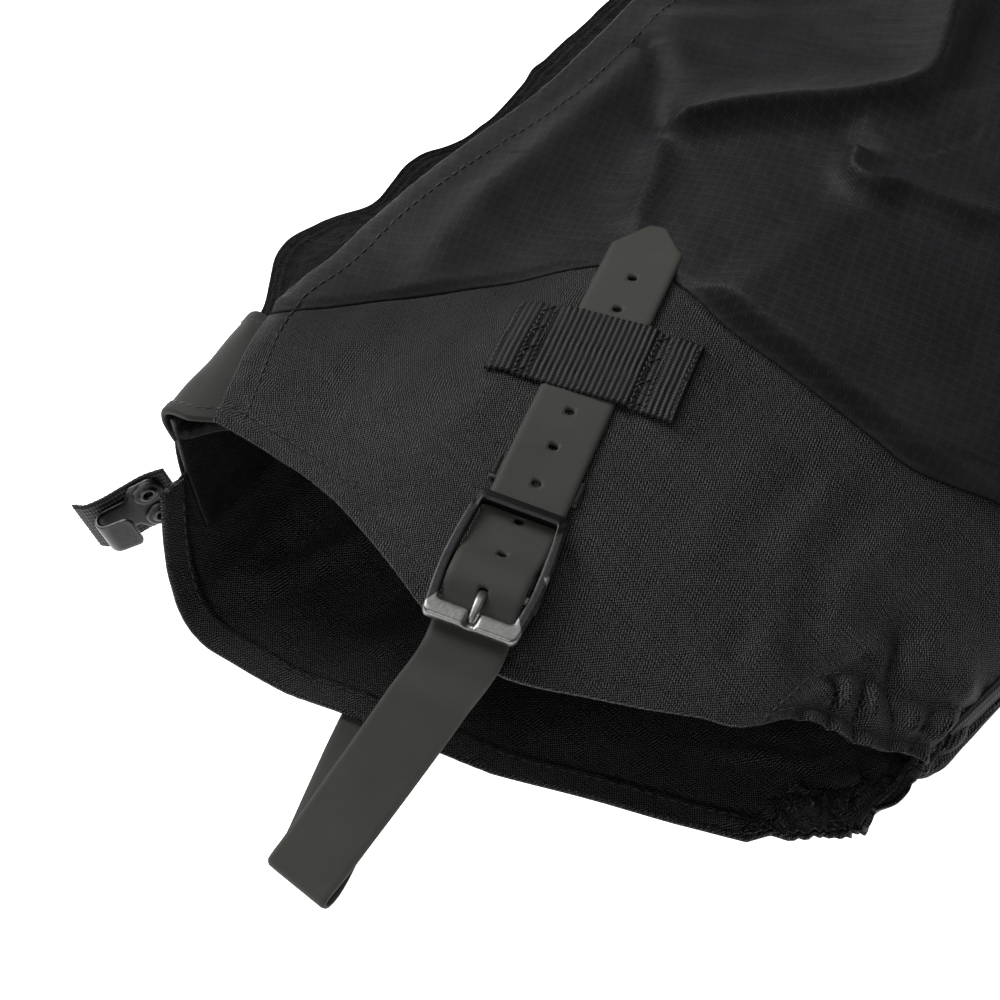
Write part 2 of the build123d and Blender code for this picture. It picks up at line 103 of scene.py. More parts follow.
def bell(value):
    """1 at 0, falling smoothly to nothing on both sides."""
    return np.exp(-(value**2))


def noise(x, y, cell, seed):
    """Seeded smooth noise in -1..1 whose patches are about one cell wide."""
    cells = 61
    table = np.random.default_rng(seed).uniform(-1, 1, (cells, cells))
    gx, gy = np.asarray(x) / cell + 300.37, np.asarray(y) / cell + 300.71
    ix, iy = np.floor(gx).astype(int), np.floor(gy).astype(int)
    fx, fy = ease(gx - ix), ease(gy - iy)
    ix, iy, jx, jy = ix % cells, iy % cells, (ix + 1) % cells, (iy + 1) % cells
    low = table[ix, iy] * (1 - fx) + table[jx, iy] * fx
    high = table[ix, jy] * (1 - fx) + table[jx, jy] * fx
    return low * (1 - fy) + high * fy


def beside(x, y, path):
    """Signed distance from a path in plan, positive on its left, and the share of the way along it."""
    points = smooth_path(path, 4)
    best = np.full(np.shape(x), 1e9)
    side = np.zeros(np.shape(x))
    along = np.zeros(np.shape(x))
    steps = len(points) - 1
    for k in range(steps):
        (ax, ay), (dx, dy) = points[k], points[k + 1] - points[k]
        t = np.clip(((x - ax) * dx + (y - ay) * dy) / (dx * dx + dy * dy), 0, 1)
        px, py = x - ax - t * dx, y - ay - t * dy
        distance = np.hypot(px, py)
        closer = distance < best
        best = np.where(closer, distance, best)
        side = np.where(closer, np.sign(dx * py - dy * px), side)
        along = np.where(closer, (k + t) / steps, along)
    return best * side, along


def fold(x, y, path, height, left, right, fade_in=0.15, fade_out=0.25, crisp=None):
    """A crease line raised by height that falls away over the given widths on its two sides."""
    distance, along = beside(x, y, path)
    width = np.where(distance > 0, left, right)
    ends = ease(along / fade_in) * ease((1 - along) / fade_out)
    if crisp is None:
        return height * bell(distance / width) * ends
    reach = np.hypot(distance, crisp) - crisp
    return height * np.exp(-1.2 * reach / width) * ends


# ================================================================ the tube's wall
# y, floor front x, front edge x, front edge z, crown height, back x, rise over the strap's end
STATIONS = np.array([
    (-196, -65, -79.0, 57, 65.5, 114, 1.6),
    (-156, -65, -80.0, 57, 65.5, 114, 1.6),
    (-128, -69, -85.0, 55, 65.2, 115, 1.6),
    (-108, -71, -88.0, 54, 65.0, 116, 0.05),
    (-18, -87, -100.0, 47, 60.0, 117, 0.05),
    (56, -102, -113.0, 40, 52.0, 118, 0.05),
    (142, -104, -115.0, 36, 47.0, 117, 0.05),
    (214, -98, -109.0, 33, 42.0, 113, 0.05),
])
STATION_Y = STATIONS[:, 0]
LEG_TOP = STATION_Y[-1]
RING = 18
HINGE, BACK_SEAM = 6.0, 11.0
HINGE_LOW = np.array((-42.0, -156.0, 62.5))
HINGE_HIGH = np.array((-70.0, 214.0, 38.0))
ANKLE_Y = -100.0  # a height near the hem, where searches start
EDGE_U = 5.4  # ring position near the flap's free edge
MEDIAL_END = RING + 3.7  # ring position up the front wall where the far panels end
UNDERSIDE_U = 11.2  # ring positions above this belong to the lower side
SEARCH_ARC = 38.0  # mm of wall in a ring step, a little long so that searches settle
FINE = 100  # samples from one ring point to the next
FLOOR_GAP = 0.15


def along_hinge(y):
    """The hinge line's point at a height y up the leg."""
    share = (y - HINGE_LOW[1]) / (HINGE_HIGH[1] - HINGE_LOW[1])
    return HINGE_LOW + share * (HINGE_HIGH - HINGE_LOW)


def ring(station):
    """The wall's corner points as (x, z), once round the tube from the floor near the front."""
    y, floor_x, edge_x, edge_z, crown, back_x, rise = station
    hinge = along_hinge(y)
    return np.array([
        (floor_x + 30, 0), (floor_x + 12, 0), (floor_x + 2, 4), (floor_x - 2.5, 12),
        (edge_x + 1.5, edge_z - 10), (edge_x, edge_z), (hinge[0], hinge[2]), (-15, crown),
        (20, crown * 0.955), (60, crown * 0.79), (95, crown * 0.55), (back_x, 12),
        (back_x - 4, 3), (back_x - 14, 0), (32, 0), (22, rise), (-18, rise), (-26, 0),
    ])


def round_ring(points):
    """A ring of corner points turned into a finely sampled smooth loop, FINE samples a step."""
    pad = 3
    looped = np.concatenate([points[-pad:], points, points[: pad + 1]])
    knots = running_length(looped)
    share = np.arange(RING * FINE + 1) / FINE
    cell = np.minimum(share.astype(int), RING - 1)
    t = knots[cell + pad] + (share - cell) * (knots[cell + pad + 1] - knots[cell + pad])
    return smooth_values(t, knots, looped)


RINGS = np.stack([round_ring(ring(s)) for s in STATIONS])


def wall_point(u, y):
    """Points of the outer wall at ring positions u and leg heights y."""
    u, y = np.broadcast_arrays(np.asarray(u, float), np.asarray(y, float))
    weights = smooth_values(y.ravel(), STATION_Y, np.eye(len(STATIONS)))
    spot = np.mod(u.ravel(), RING) * FINE
    low = np.floor(spot).astype(int)
    share = (spot - low)[:, None]
    row = RINGS[:, low] * (1 - share) + RINGS[:, np.minimum(low + 1, RING * FINE)] * share
    xz = np.einsum("ns,snk->nk", weights, row)
    points = np.stack([xz[:, 0], y.ravel(), xz[:, 1]], axis=-1)
    return points.reshape(u.shape + (3,))


def unit(vectors):
    """Directions of the vectors, one unit long."""
    return vectors / np.maximum(np.linalg.norm(vectors, axis=-1, keepdims=True), 1e-9)


def wall_normal(u, y):
    """Outward directions of the wall."""
    round_way = wall_point(u + 0.04, y) - wall_point(u - 0.04, y)
    up_way = wall_point(u, y + 1.0) - wall_point(u, y - 1.0)
    return unit(np.cross(round_way, up_way))


# ---------------------------------------------------------------- outlines seen from above
def outline(points):
    """A smooth function of the first coordinate through given points."""
    knots, values = zip(*points)
    return lambda t: smooth_values(t, knots, values)


lateral_hem = outline([
    (-150, -156), (-80, -156), (-62, -151.5), (-36.6, -149.7), (-7.3, -154.5), (18.5, -160), (41, -159),
    (60, -144.5), (78, -128.5), (87.5, -119), (92, -109), (98, -102.5), (104, -98.5), (109, -94), (113, -88),
    (150, -80),
])
medial_hem = outline([
    (-150, -148), (-86, -150), (-78, -162), (-70, -170), (-60, -173.5), (-40, -172.5), (-8, -166), (25, -155),
    (55, -141), (82, -129), (100, -119.5), (112, -109), (150, -98),
])
SEAM = [(-150, -130), (-95, -122), (-77, -106), (-62.6, -85), (-47, -63.5), (-35, -45), (-22, -35.5)]
SEAM += [(-5, -35), (5, -36.5), (31, -35.5), (54, -33), (68, -31), (87, -19), (118, -6), (150, 2)]
seam_line = outline(SEAM)
flap_edge_x = outline([
    (-172, -62), (-156, -64), (-150, -67), (-112, -85), (-84, -88), (-62, -91), (-35, -93), (9, -95),
    (30, -99), (60, -104), (110, -108), (160, -108), (214, -103),
])
tape_rim_x = outline([
    (-172, -77), (-156, -79), (-130, -84), (-116, -90), (-102, -99), (-86, -110), (-67, -109), (-57, -104),
    (-38, -107), (-19, -103), (-7, -104), (21, -111), (52, -116), (85, -114), (120, -114), (150, -113),
    (185, -110), (214, -106),
])


def flap_edge(y):
    """Ring position of the flap's free edge at each height."""
    y = np.asarray(y, float)
    u = np.full(y.shape, EDGE_U)
    for _ in range(14):
        u = np.clip(u + (flap_edge_x(y) - wall_point(u, y)[..., 0]) / SEARCH_ARC, 4.9, 6.0)
    return u


def meet(position, line, shift=0.0):
    """Height y where each column position(y) crosses an outline in plan."""
    y = np.full(1, ANKLE_Y)
    for _ in range(15):
        y = line(wall_point(position(y), y)[..., 0]) + shift
    return y


# ---------------------------------------------------------------- relief of the cloth
GATHER_X, MEDIAL_GATHER_X = 90.5, 78.0  # the heel's pleats start here on the upper and the lower side
CASING = 20.0
PLEAT = 7.0
HEM_STITCH = 6.3


def gather_start(u):
    """Where the heel's pleats start, in x, at each ring position."""
    return np.where(u < UNDERSIDE_U, GATHER_X, MEDIAL_GATHER_X)


def arc_round_heel(u):
    """Length round the tube near the ankle, for pleats that run on across the back seam."""
    fine = np.linspace(7, 16, 400)
    return np.interp(u, fine, running_length(wall_point(fine, np.full(fine.shape, ANKLE_Y))))


def gather(u, x, above_hem):
    """Puffs of the elastic heel casing between sharp creases, dying away up the leg."""
    arc = arc_round_heel(u)
    lean = -np.tanh((u - BACK_SEAM) / 0.6) * 0.55
    phase = (arc + lean * above_hem + 2.4 * noise(arc, above_hem * 0.4, 9, 5)) * np.pi / PLEAT
    uneven = 0.8 + 0.5 * noise(arc, above_hem * 0.15, 7, 6)
    puffs = (1.7 * np.abs(np.sin(phase)) ** 0.6 - 1.0) * uneven + 0.22 * np.sin(phase * 3.7 + 1.3)
    wide = np.sin(phase * 0.9 + 0.7) * (0.7 + 0.5 * noise(arc, above_hem * 0.1, 12, 8))
    inside = 3.7 * bell((above_hem - 12) / 8) + 2.0 * bell(above_hem / 3.2)
    beyond = 1.9 * np.exp(-np.maximum(above_hem - CASING, 0) / 13)
    pinch = 1 - 0.7 * bell((above_hem - 5.5) / 1.3) - 0.6 * bell((above_hem - CASING) / 1.6)
    fan = ease((above_hem - 16) / 14) * 3.6 * np.exp(-np.maximum(above_hem - 26, 0) / 26)
    past_start = x - gather_start(u)
    reach = ease((past_start + 1) / 4)
    wide_reach = ease((past_start + 36 - 0.2 * above_hem) / 28)
    near = np.where(above_hem > 12, np.maximum(inside, beyond), inside)
    dip = -1.4 * bell((above_hem - 5.5) / 3.0) - 1.2 * bell((above_hem - CASING) / 3.0)
    return (puffs * near * pinch + dip) * reach + wide * fan * wide_reach


# The upper side's creases: height, width to the left and right, fades at the start and end, roundness
# of a sharp crest, and the line on the cloth in plan.
FOLDS = [
    (11.0, 24, 3.6, 0.06, 0.2, 0.7, [
        (-57, 10), (-50.5, 20), (-43, 30), (-35.5, 39), (-27.5, 48), (-20.5, 58), (-15.5, 67), (-14.5, 79),
        (-19.7, 92.4), (-25, 103), (-29, 118), (-31, 145),
    ]),
    (3.4, 9, 17, 0.12, 0.3, None, [
        (-92, 38), (-90, 43), (-80, 55), (-69, 69), (-56, 83), (-42, 100), (-32, 116), (-20, 140),
    ]),
    (5.0, 8, 16, 0.2, 0.1, 2.0, [
        (-63, -90), (-65.5, -78), (-72, -46), (-75, -19), (-78.6, 10), (-82.3, 35.6), (-85, 48),
    ]),
    (-4.6, 4, 9, 0.15, 0.15, 1.0, [(-57, 12), (-59, 16.5), (-67.7, 24), (-77, 32), (-84, 37.5), (-90, 42)]),
    (3.6, 4.2, 4.2, 0.2, 0.2, 1.0, [(-30, -30), (-36.4, -21), (-43, -8.4), (-52, 5.5), (-58, 15)]),
    (7.5, 13, 3.2, 0.08, 0.35, 0.8, [
        (-13, 46), (-10, 38), (-5.6, 31.5), (-2, 30.5), (8.5, 37.8), (19.7, 42), (31, 48.7), (55, 54), (78, 56),
    ]),
    (3.2, 6, 14, 0.1, 0.4, None, [(-17, 44), (-13, 58), (-6, 75), (4, 96), (20, 120)]),
    (1.1, 6, 8, 0.3, 0.3, None, [(-52, -55), (-46, -85), (-40, -115), (-36, -140)]),
    (0.9, 5, 7, 0.3, 0.3, None, [(-28, -40), (-26, -70), (-20, -100), (-14, -128)]),
    (0.9, 6, 6, 0.3, 0.3, None, [(-64, -80), (-62, -105), (-56, -132)]),
    (1.5, 7, 5, 0.3, 0.3, None, [(58, -42), (60, -66), (68, -92)]),
    (1.4, 6, 6, 0.3, 0.3, None, [(80, -38), (78, -60), (80, -84)]),
    (1.0, 8, 6, 0.3, 0.3, None, [(40, -52), (44, -80), (54, -106)]),
    (1.0, 12, 8, 0.3, 0.3, None, [(20, -8), (44, -2), (76, 2), (104, 8)]),
    (2.0, 16, 7, 0.3, 0.3, None, [(-40, 130), (-8, 150), (30, 162), (70, 165)]),
    (2.2, 12, 7, 0.3, 0.3, None, [(-85, 150), (-60, 172), (-30, 186), (10, 190)]),
    (2.4, 12, 6, 0.3, 0.3, None, [(40, 90), (70, 104), (98, 126)]),
    (1.6, 10, 8, 0.3, 0.3, None, [(96, 20), (84, 50), (86, 90)]),
    # cloth pushed up beside the strap, under the keeper's two ends
    (1.9, 9, 9, 0.3, 0.3, None, [(-20, -98), (-24, -89), (-33, -68), (-37, -59)]),
    (1.9, 9, 9, 0.3, 0.3, None, [(20, -81), (16, -71), (8, -52), (4, -43)]),
]
MEDIAL_FOLDS = [
    (2.4, 5, 5, [(-62, -160), (-52, -135), (-46, -105), (-44, -70)]),
    (1.6, 6, 6, [(-20, -150), (-8, -120), (-2, -80)]),
    (1.4, 6, 6, [(30, -140), (48, -112), (60, -80)]),
]


def seam_step(x, y):
    """The upper panel bellies out over the seam and drops to it in a steep band."""
    distance, _ = beside(x, y, SEAM)
    tall = 1.3 + 6.6 * ease((x + 9) / 15) - 1.5 * ease((x - 75) / 25)
    wide = 3.5 + 2.0 * ease((x + 9) / 15)
    return tall * ease(distance / wide) * bell(np.maximum(distance - wide, 0) / 45)


def lateral_relief(u, p):
    """How far the upper side's cloth stands off the plain wall."""
    x, y = p[..., 0], p[..., 1]
    lift = sum(fold(x, y, path, *shape) for *shape, path in FOLDS) + seam_step(x, y)
    upper = ease((y - seam_line(x)) / 10)
    lift += (0.4 + 0.6 * upper) * noise(x * 0.8 + y * 0.3, y * 0.6, 34, 11)
    lift += (0.14 + 0.16 * upper) * noise(x, y, 13, 12) + 0.06 * noise(x, y, 5.5, 13)
    crinkle = np.abs(noise(x + 0.4 * y, y - 0.3 * x, 8, 14))
    lift -= upper * 0.30 * (1 - crinkle) ** 6
    lift += 0.07 * noise(x * 1.4, y, 2.6, 16)
    return lift * (1 - ease((u - 10.5) / 0.5) * 0.75)


def hem_pucker(u, arc_hint, above_hem):
    """Small waves and stitch dents of a folded hem."""
    wave = 0.35 * noise(arc_hint, above_hem * 0.2, 9, 21) + 0.12 * np.sin(arc_hint * 2 * np.pi / 3.4 + u)
    dent = -0.32 * bell((above_hem - HEM_STITCH) / 0.7)
    return wave * bell(above_hem / 7) * 0.7 + dent


def medial_relief(u, p):
    """The lower side lies on the floor, so its waves only lift it."""
    x, y = p[..., 0], p[..., 1]
    lift = 0.55 * np.abs(noise(x, y, 22, 31)) + 0.25 * np.abs(noise(x, y, 7, 32))
    ridge = sum(fold(x, y, path, *shape) for *shape, path in MEDIAL_FOLDS)
    wrinkle = 3.4 * (1 - np.abs(noise(x * 1.1 + y * 0.35, y * 0.28, 5.5, 33))) ** 2 * ease((x - 62) / 14)
    return -(lift + ridge + wrinkle * (1 - ease((y + 92) / 26)))


def cloth(u, y, depth, hem=None):
    """Points on the cloth at a depth below its outer face. hem is the outline its lower edge follows."""
    p = wall_point(u, y)
    n = wall_normal(u, y)
    medial = ease((u - 11.0) / 0.7)
    lift = np.where(medial < 1, lateral_relief(u, p) * (1 - medial), 0)
    lift = lift + np.where(medial > 0, medial_relief(u, p) * medial, 0)
    if hem is not None:
        above = y - hem(p[..., 0])
        start = gather_start(u)
        lift = lift + hem_pucker(u, p[..., 0], above) * (1 - ease((p[..., 0] - start) / 4))
        round_heel = (u > 8.3) & (u < 14.6)
        pleats = gather(u, p[..., 0], above) * round_heel
        lift = lift + np.where(medial > 0.5, -np.abs(pleats) * 0.9, pleats)
    points = p + n * (lift - depth)[..., None]
    points[..., 2] = np.maximum(points[..., 2], FLOOR_GAP + depth)
    return points


# ================================================================ meshes
def new_piece(name, verts, faces, materials, face_material=None, uv=None, smooth=True):
    """A mesh object from points in mm, with an optional cloth UV in metres for each point."""
    mesh = bpy.data.meshes.new(name)
    mesh.from_pydata((np.asarray(verts) * MM).tolist(), [], [list(map(int, f)) for f in faces])
    for material in materials:
        mesh.materials.append(material)
    if face_material is not None:
        mesh.polygons.foreach_set("material_index", np.asarray(face_material, np.int32))
    if smooth:
        mesh.polygons.foreach_set("use_smooth", np.ones(len(mesh.polygons), bool))
    if uv is not None:
        layer = mesh.uv_layers.new(name="cloth")
        corner = np.zeros(len(mesh.loops), np.int32)
        mesh.loops.foreach_get("vertex_index", corner)
        layer.data.foreach_set("uv", (np.asarray(uv) * MM)[corner].astype(np.float32).ravel())
    mesh.update()
    piece = bpy.data.objects.new(name, mesh)
    bpy.context.scene.collection.objects.link(piece)
    return piece


def joined(parts):
    """Several (points, faces) sets as one."""
    verts, faces, start = [], [], 0
    for part_verts, part_faces in parts:
        verts.append(np.asarray(part_verts, float).reshape(-1, 3))
        faces += [[int(i) + start for i in f] for f in part_faces]
        start += len(verts[-1])
    return np.concatenate(verts), faces


def sheet_faces(rows, cols):
    """Faces of a closed sheet: outer layer, inner layer, and the four rims."""
    count = rows * cols
    index = np.arange(count).reshape(rows, cols)
    a, b, c, d = index[:-1, :-1], index[:-1, 1:], index[1:, 1:], index[1:, :-1]
    outer = np.stack([a, b, c, d], -1).reshape(-1, 4)
    inner = np.stack([d, c, b, a], -1).reshape(-1, 4) + count
    same, flipped = [0, 1, 2, 3], [0, 3, 2, 1]
    rims = []
    for line, order in ((index[0], same), (index[-1], flipped), (index[:, 0], flipped), (index[:, -1], same)):
        rims.append(np.stack([line[:-1], line[:-1] + count, line[1:] + count, line[1:]], -1)[:, order])
    faces = np.concatenate([outer, inner, *rims])
    marks = np.zeros(len(faces), int)
    marks[len(outer) : 2 * len(outer)] = 1
    return faces, marks


def capped_tube(rings):
    """Points and faces of a tube through rings of points, with flat ends."""
    count, sides = rings.shape[:2]
    faces = []
    for i in range(count - 1):
        for j in range(sides):
            k = (j + 1) % sides
            faces.append((i * sides + j, i * sides + k, (i + 1) * sides + k, (i + 1) * sides + j))
    ends = [tuple(range(sides))[::-1], tuple((count - 1) * sides + j for j in range(sides))]
    return rings.reshape(-1, 3), faces + ends


def closed_ring(loops):
    """Points and faces of a ring whose section runs through the loops and back to the first."""
    count, faces = len(loops[0]), []
    for i in range(len(loops)):
        j = (i + 1) % len(loops)
        for k in range(count):
            n = (k + 1) % count
            faces.append((i * count + k, j * count + k, j * count + n, i * count + n))
    return np.concatenate(loops), faces


def path_frame(points, per_step):
    """A smooth path in a plane, the directions out from its left side, and its running length."""
    path = smooth_path(points, per_step)
    way = unit(np.gradient(path, axis=0))
    return path, np.stack([-way[:, 1], way[:, 0]], axis=-1), running_length(path)


def spread(points):
    """Cloth UV of a grid of points: running length across and up, in mm."""
    across = np.linalg.norm(np.diff(points, axis=1), axis=-1)
    across = np.concatenate([np.zeros((len(points), 1)), np.cumsum(across, axis=1)], axis=1)
    across = across - across[:, -1:]
    return np.stack([across, points[..., 1]], axis=-1)


def turned_grain(uv, degrees):
    """Cloth UV turned so that the threads run at an angle to the leg."""
    c, s = math.cos(math.radians(degrees)), math.sin(math.radians(degrees))
    return np.stack([uv[..., 0] * c + uv[..., 1] * s, uv[..., 1] * c - uv[..., 0] * s], axis=-1)


GRAIN_TURN = 22.0  # the upper panels are cut at a slant to the leg


def sheet_piece(name, outer, inner, materials, uv=None):
    """A closed sheet from two grids of points. materials are for the outer face and the lining."""
    rows, cols = outer.shape[:2]
    faces, marks = sheet_faces(rows, cols)
    verts = np.concatenate([outer.reshape(-1, 3), inner.reshape(-1, 3)])
    if uv is None:
        uv = spread(outer)
    flat = uv.reshape(-1, 2)
    if len(materials) == 1:
        marks = None
    return new_piece(name, verts, faces, materials, marks, np.concatenate([flat, flat]))


def layer_piece(name, u, y, top, low, materials, hem=None, uv=None):
    """A sheet that follows the cloth, between two depths below its outer face."""
    return sheet_piece(name, cloth(u, y, top + 0 * y, hem), cloth(u, y, low + 0 * y, hem), materials, uv)


def roll(distance, radius=0.6):
    """Depth of a rounded edge at a distance from it."""
    inset = radius - np.clip(distance, 0, radius)
    return radius - np.sqrt(np.maximum(radius**2 - inset**2, 0))


FINE_EDGE = np.array([0, 0.1, 0.3, 0.6, 1.0, 1.5, 2.1, 2.8])


def graded(low, high, step, fine_low=True):
    """Positions from low to high (arrays), close together at the low edge."""
    start = FINE_EDGE if fine_low else FINE_EDGE[:1]
    span = float(np.max(high - low)) - start[-1]
    count = max(4, int(span / step))
    shares = np.arange(1, count + 1) / count
    rows = [low + s for s in start]
    rows += [low + start[-1] + (high - low - start[-1]) * s for s in shares]
    return np.array(rows)


# ================================================================ materials
class Shader:
    """Short names for building one node material."""

    def __init__(self, name, **constants):
        self.material = bpy.data.materials.new(name)
        self.material.use_nodes = True
        self.tree = self.material.node_tree
        self.bsdf = self.tree.nodes["Principled BSDF"]
        for socket, value in constants.items():
            self.bsdf.inputs[socket.replace("_", " ")].default_value = value

    def node(self, kind, inputs=(), **settings):
        """A new node with its settings and inputs filled in."""
        made = self.tree.nodes.new("ShaderNode" + kind)
        for key, value in settings.items():
            setattr(made, key, value)
        for slot, value in dict(inputs).items():
            self.plug(made.inputs[slot], value)
        return made

    def plug(self, socket, value):
        """Links a node's output to a socket, or sets the socket to a plain value."""
        if isinstance(value, bpy.types.NodeSocket):
            self.tree.links.new(value, socket)
        else:
            socket.default_value = value

    def calc(self, operation, first, second=0.0, third=0.0):
        made = self.node("Math", {0: first, 1: second, 2: third}, operation=operation)
        return made.outputs[0]

    def scaled(self, value, factor, offset=0.0):
        """The value times a factor, plus an offset."""
        return self.calc("MULTIPLY_ADD", value, factor, offset)

    def times(self, first, second):
        return self.calc("MULTIPLY", first, second)

    def plus(self, first, second):
        return self.calc("ADD", first, second)

    def cloth(self):
        """Across and along in mm on the cloth."""
        parts = self.node("SeparateXYZ", {0: self.node("UVMap", uv_map="cloth").outputs[0]})
        return self.times(parts.outputs[0], 1000.0), self.times(parts.outputs[1], 1000.0)

    def object_mm(self, scale=1000.0):
        """Place on the object, in mm unless another scale is given."""
        return self.stretched(self.node("TexCoord").outputs["Object"], (scale,) * 3)

    def stretched(self, vector, scales):
        return self.node("VectorMath", {0: vector, 1: scales}, operation="MULTIPLY").outputs[0]

    def grain(self, vector, scale, detail=3.0, rough=0.55):
        """Cloudy noise from 0 to 1."""
        made = self.node("TexNoise", {"Vector": vector, "Scale": scale, "Detail": detail, "Roughness": rough})
        return made.outputs["Fac"]

    def wave(self, value, pitch, shift=0.0):
        """Sine of a length with the given pitch, from -1 to 1."""
        turns = self.scaled(value, 2 * math.pi / pitch, shift)
        return self.calc("SINE", turns)

    def line(self, value, pitch, sharp):
        """Thin raised lines, one each pitch."""
        crest = self.scaled(self.wave(value, pitch), 0.5, 0.5)
        return self.calc("POWER", crest, sharp)

    def ramp(self, value, low, high):
        """Value spread from low..high to 0..1."""
        made = self.node("MapRange", {"Value": value, "From Min": low, "From Max": high})
        return made.outputs[0]

    def mix(self, share, first, second):
        """A colour between two others, by share."""
        made = self.node("Mix", data_type="RGBA")
        self.plug(made.inputs["Factor"], share)
        self.plug(made.inputs[6], first)
        self.plug(made.inputs[7], second)
        return made.outputs[2]

    def bump(self, height, distance_mm, strength=1.0, under=None):
        made = self.node("Bump", {"Height": height, "Distance": distance_mm * MM, "Strength": strength})
        if under is not None:
            self.plug(made.inputs["Normal"], under)
        return made.outputs["Normal"]

    def finish(self, color, rough, normal=None, metal=None):
        """Plugs the results into the material and returns it."""
        self.plug(self.bsdf.inputs["Base Color"], color)
        self.plug(self.bsdf.inputs["Roughness"], rough)
        if normal is not None:
            self.plug(self.bsdf.inputs["Normal"], normal)
        if metal is not None:
            self.bsdf.inputs["Metallic"].default_value = metal
        return self.material


def grey(value, red=1.0, green=1.0, blue=1.0):
    """A grey colour, tinted by a factor for each channel."""
    return (value * red, value * green, value * blue, 1.0)


def ripstop_material():
    """Light black nylon with a raised 3.2 mm thread grid and fine crinkles."""
    s = Shader("ripstop_nylon", Specular_IOR_Level=0.06)
    across, along = s.cloth()
    place = s.object_mm()
    threads = s.times(s.wave(across, 0.86), s.wave(along, 0.86))
    dash = s.scaled(s.wave(along, 1.6), 0.4, 0.5)
    grid = s.times(s.line(across, 3.2, 5.0), dash)
    grid = s.calc("MAXIMUM", grid, s.times(s.line(along, 3.2, 7.0), 0.6))
    crumple = s.grain(place, 0.16, 5.0, 0.62)
    patch = s.grain(place, 0.03, 2.0)
    tone = s.scaled(threads, 0.16, s.scaled(grid, 0.32, 0.32))
    tone = s.plus(tone, s.scaled(patch, 0.5, -0.25))
    color = s.mix(tone, grey(0.0040, 0.99, 0.96, 1.05), grey(0.0200, 0.99, 0.96, 1.05))
    rough = s.scaled(crumple, 0.16, s.scaled(grid, -0.05, 0.42))
    normal = s.bump(crumple, 0.6, 0.4)
    normal = s.bump(grid, 0.12, 0.5, normal)
    normal = s.bump(threads, 0.06, 0.55, normal)
    return s.finish(color, rough, normal)


def lower_material():
    """Heavier black fabric of the lower panel: a coarse weave whose strong light-and-dark contrast is partly
    its pattern and partly painted sheen, with painted glitter.
    """
    s = Shader("lower_pack_cloth", Specular_IOR_Level=0.08)
    across, along = s.cloth()
    place = s.object_mm()
    wobble = s.scaled(s.grain(place, 0.25, 1.0), 0.8, -0.4)
    over = s.times(s.wave(s.plus(across, wobble), 0.86), s.wave(along, 0.86))
    diagonal = s.wave(s.scaled(along, 0.3, across), 0.86)
    share = s.ramp(s.grain(place, 0.22, 2.0), 0.35, 0.65)
    weave = s.scaled(s.calc("SUBTRACT", diagonal, over), s.times(share, 0.5), over)
    grid = s.calc("MAXIMUM", s.line(across, 3.0, 10.0), s.line(along, 3.0, 10.0))
    glitter_noise = s.grain(place, 2.4, 2.0, 0.7)
    patch = s.grain(place, 0.04, 3.0)
    dots = s.times(grid, s.wave(s.plus(across, along), 1.2))
    # the weave's bright threads are pattern and painted sheen; the fine noise added next paints glitter
    tone = s.scaled(weave, 1.25, s.scaled(dots, 0.55, 0.10))
    tone = s.plus(tone, s.scaled(glitter_noise, 0.9, -0.45))
    tone = s.plus(tone, s.scaled(patch, 0.3, -0.15))
    tone = s.ramp(tone, 0.0, 1.0)
    color = s.mix(tone, grey(0.0004, 0.99, 0.97, 1.02), grey(0.058, 0.99, 0.97, 1.0))
    rough = s.scaled(glitter_noise, 0.25, 0.30)
    normal = s.bump(s.grain(place, 0.2, 4.0), 0.6, 0.5)
    normal = s.bump(weave, 0.16, 0.75, normal)
    normal = s.bump(grid, 0.1, 0.6, normal)
    return s.finish(color, rough, normal)


def lining_material():
    """Coated inner face: smoother, a little blue, with the weave showing through."""
    s = Shader("coated_lining", Specular_IOR_Level=0.2)
    across, along = s.cloth()
    place = s.object_mm()
    weave = s.times(s.wave(across, 0.9), s.wave(along, 0.9))
    streak = s.grain(s.stretched(place, (0.9, 0.25, 0.5)), 0.2, 4.0)
    tone = s.scaled(weave, 0.28, s.scaled(streak, 0.8, -0.1))
    tone = s.ramp(tone, 0.0, 1.0)
    color = s.mix(tone, grey(0.0028, 0.85, 0.8, 1.4), grey(0.024, 0.95, 0.9, 1.12))
    normal = s.bump(s.grain(place, 0.25, 4.0), 0.8, 0.6)
    normal = s.bump(weave, 0.14, 0.6, normal)
    return s.finish(color, s.scaled(streak, 0.2, 0.35), normal)


def strap_material(name, shade):
    """Smooth olive-grey coated webbing with a soft satin face."""
    s = Shader(name, Specular_IOR_Level=0.08)
    place = s.object_mm()
    across, along = s.cloth()
    smudge = s.grain(place, 0.07, 4.0, 0.6)
    fine = s.grain(place, 2.2, 2.0)
    scuff = s.ramp(s.grain(place, 0.35, 6.0, 0.75), 0.55, 0.75)
    weave = s.times(s.wave(across, 0.8), s.wave(along, 0.8))
    tone = s.scaled(smudge, 0.55, s.scaled(fine, 0.25, 0.05))
    tone = s.scaled(scuff, 0.12, tone)
    tone = s.scaled(weave, 0.035, tone)
    # shade scales the whole colour down; below 1 it is painted shade on the strap's own coating
    color = s.mix(tone, grey(0.0230 * shade, 1.0, 1.0, 0.90), grey(0.0430 * shade, 1.0, 1.0, 0.92))
    rough = s.scaled(smudge, 0.15, 0.50)
    normal = s.bump(fine, 0.05, 0.4)
    normal = s.bump(weave, 0.02, 0.5, normal)
    normal = s.bump(s.grain(place, 0.12, 3.0), 0.25, 0.35, normal)
    return s.finish(color, rough, normal)


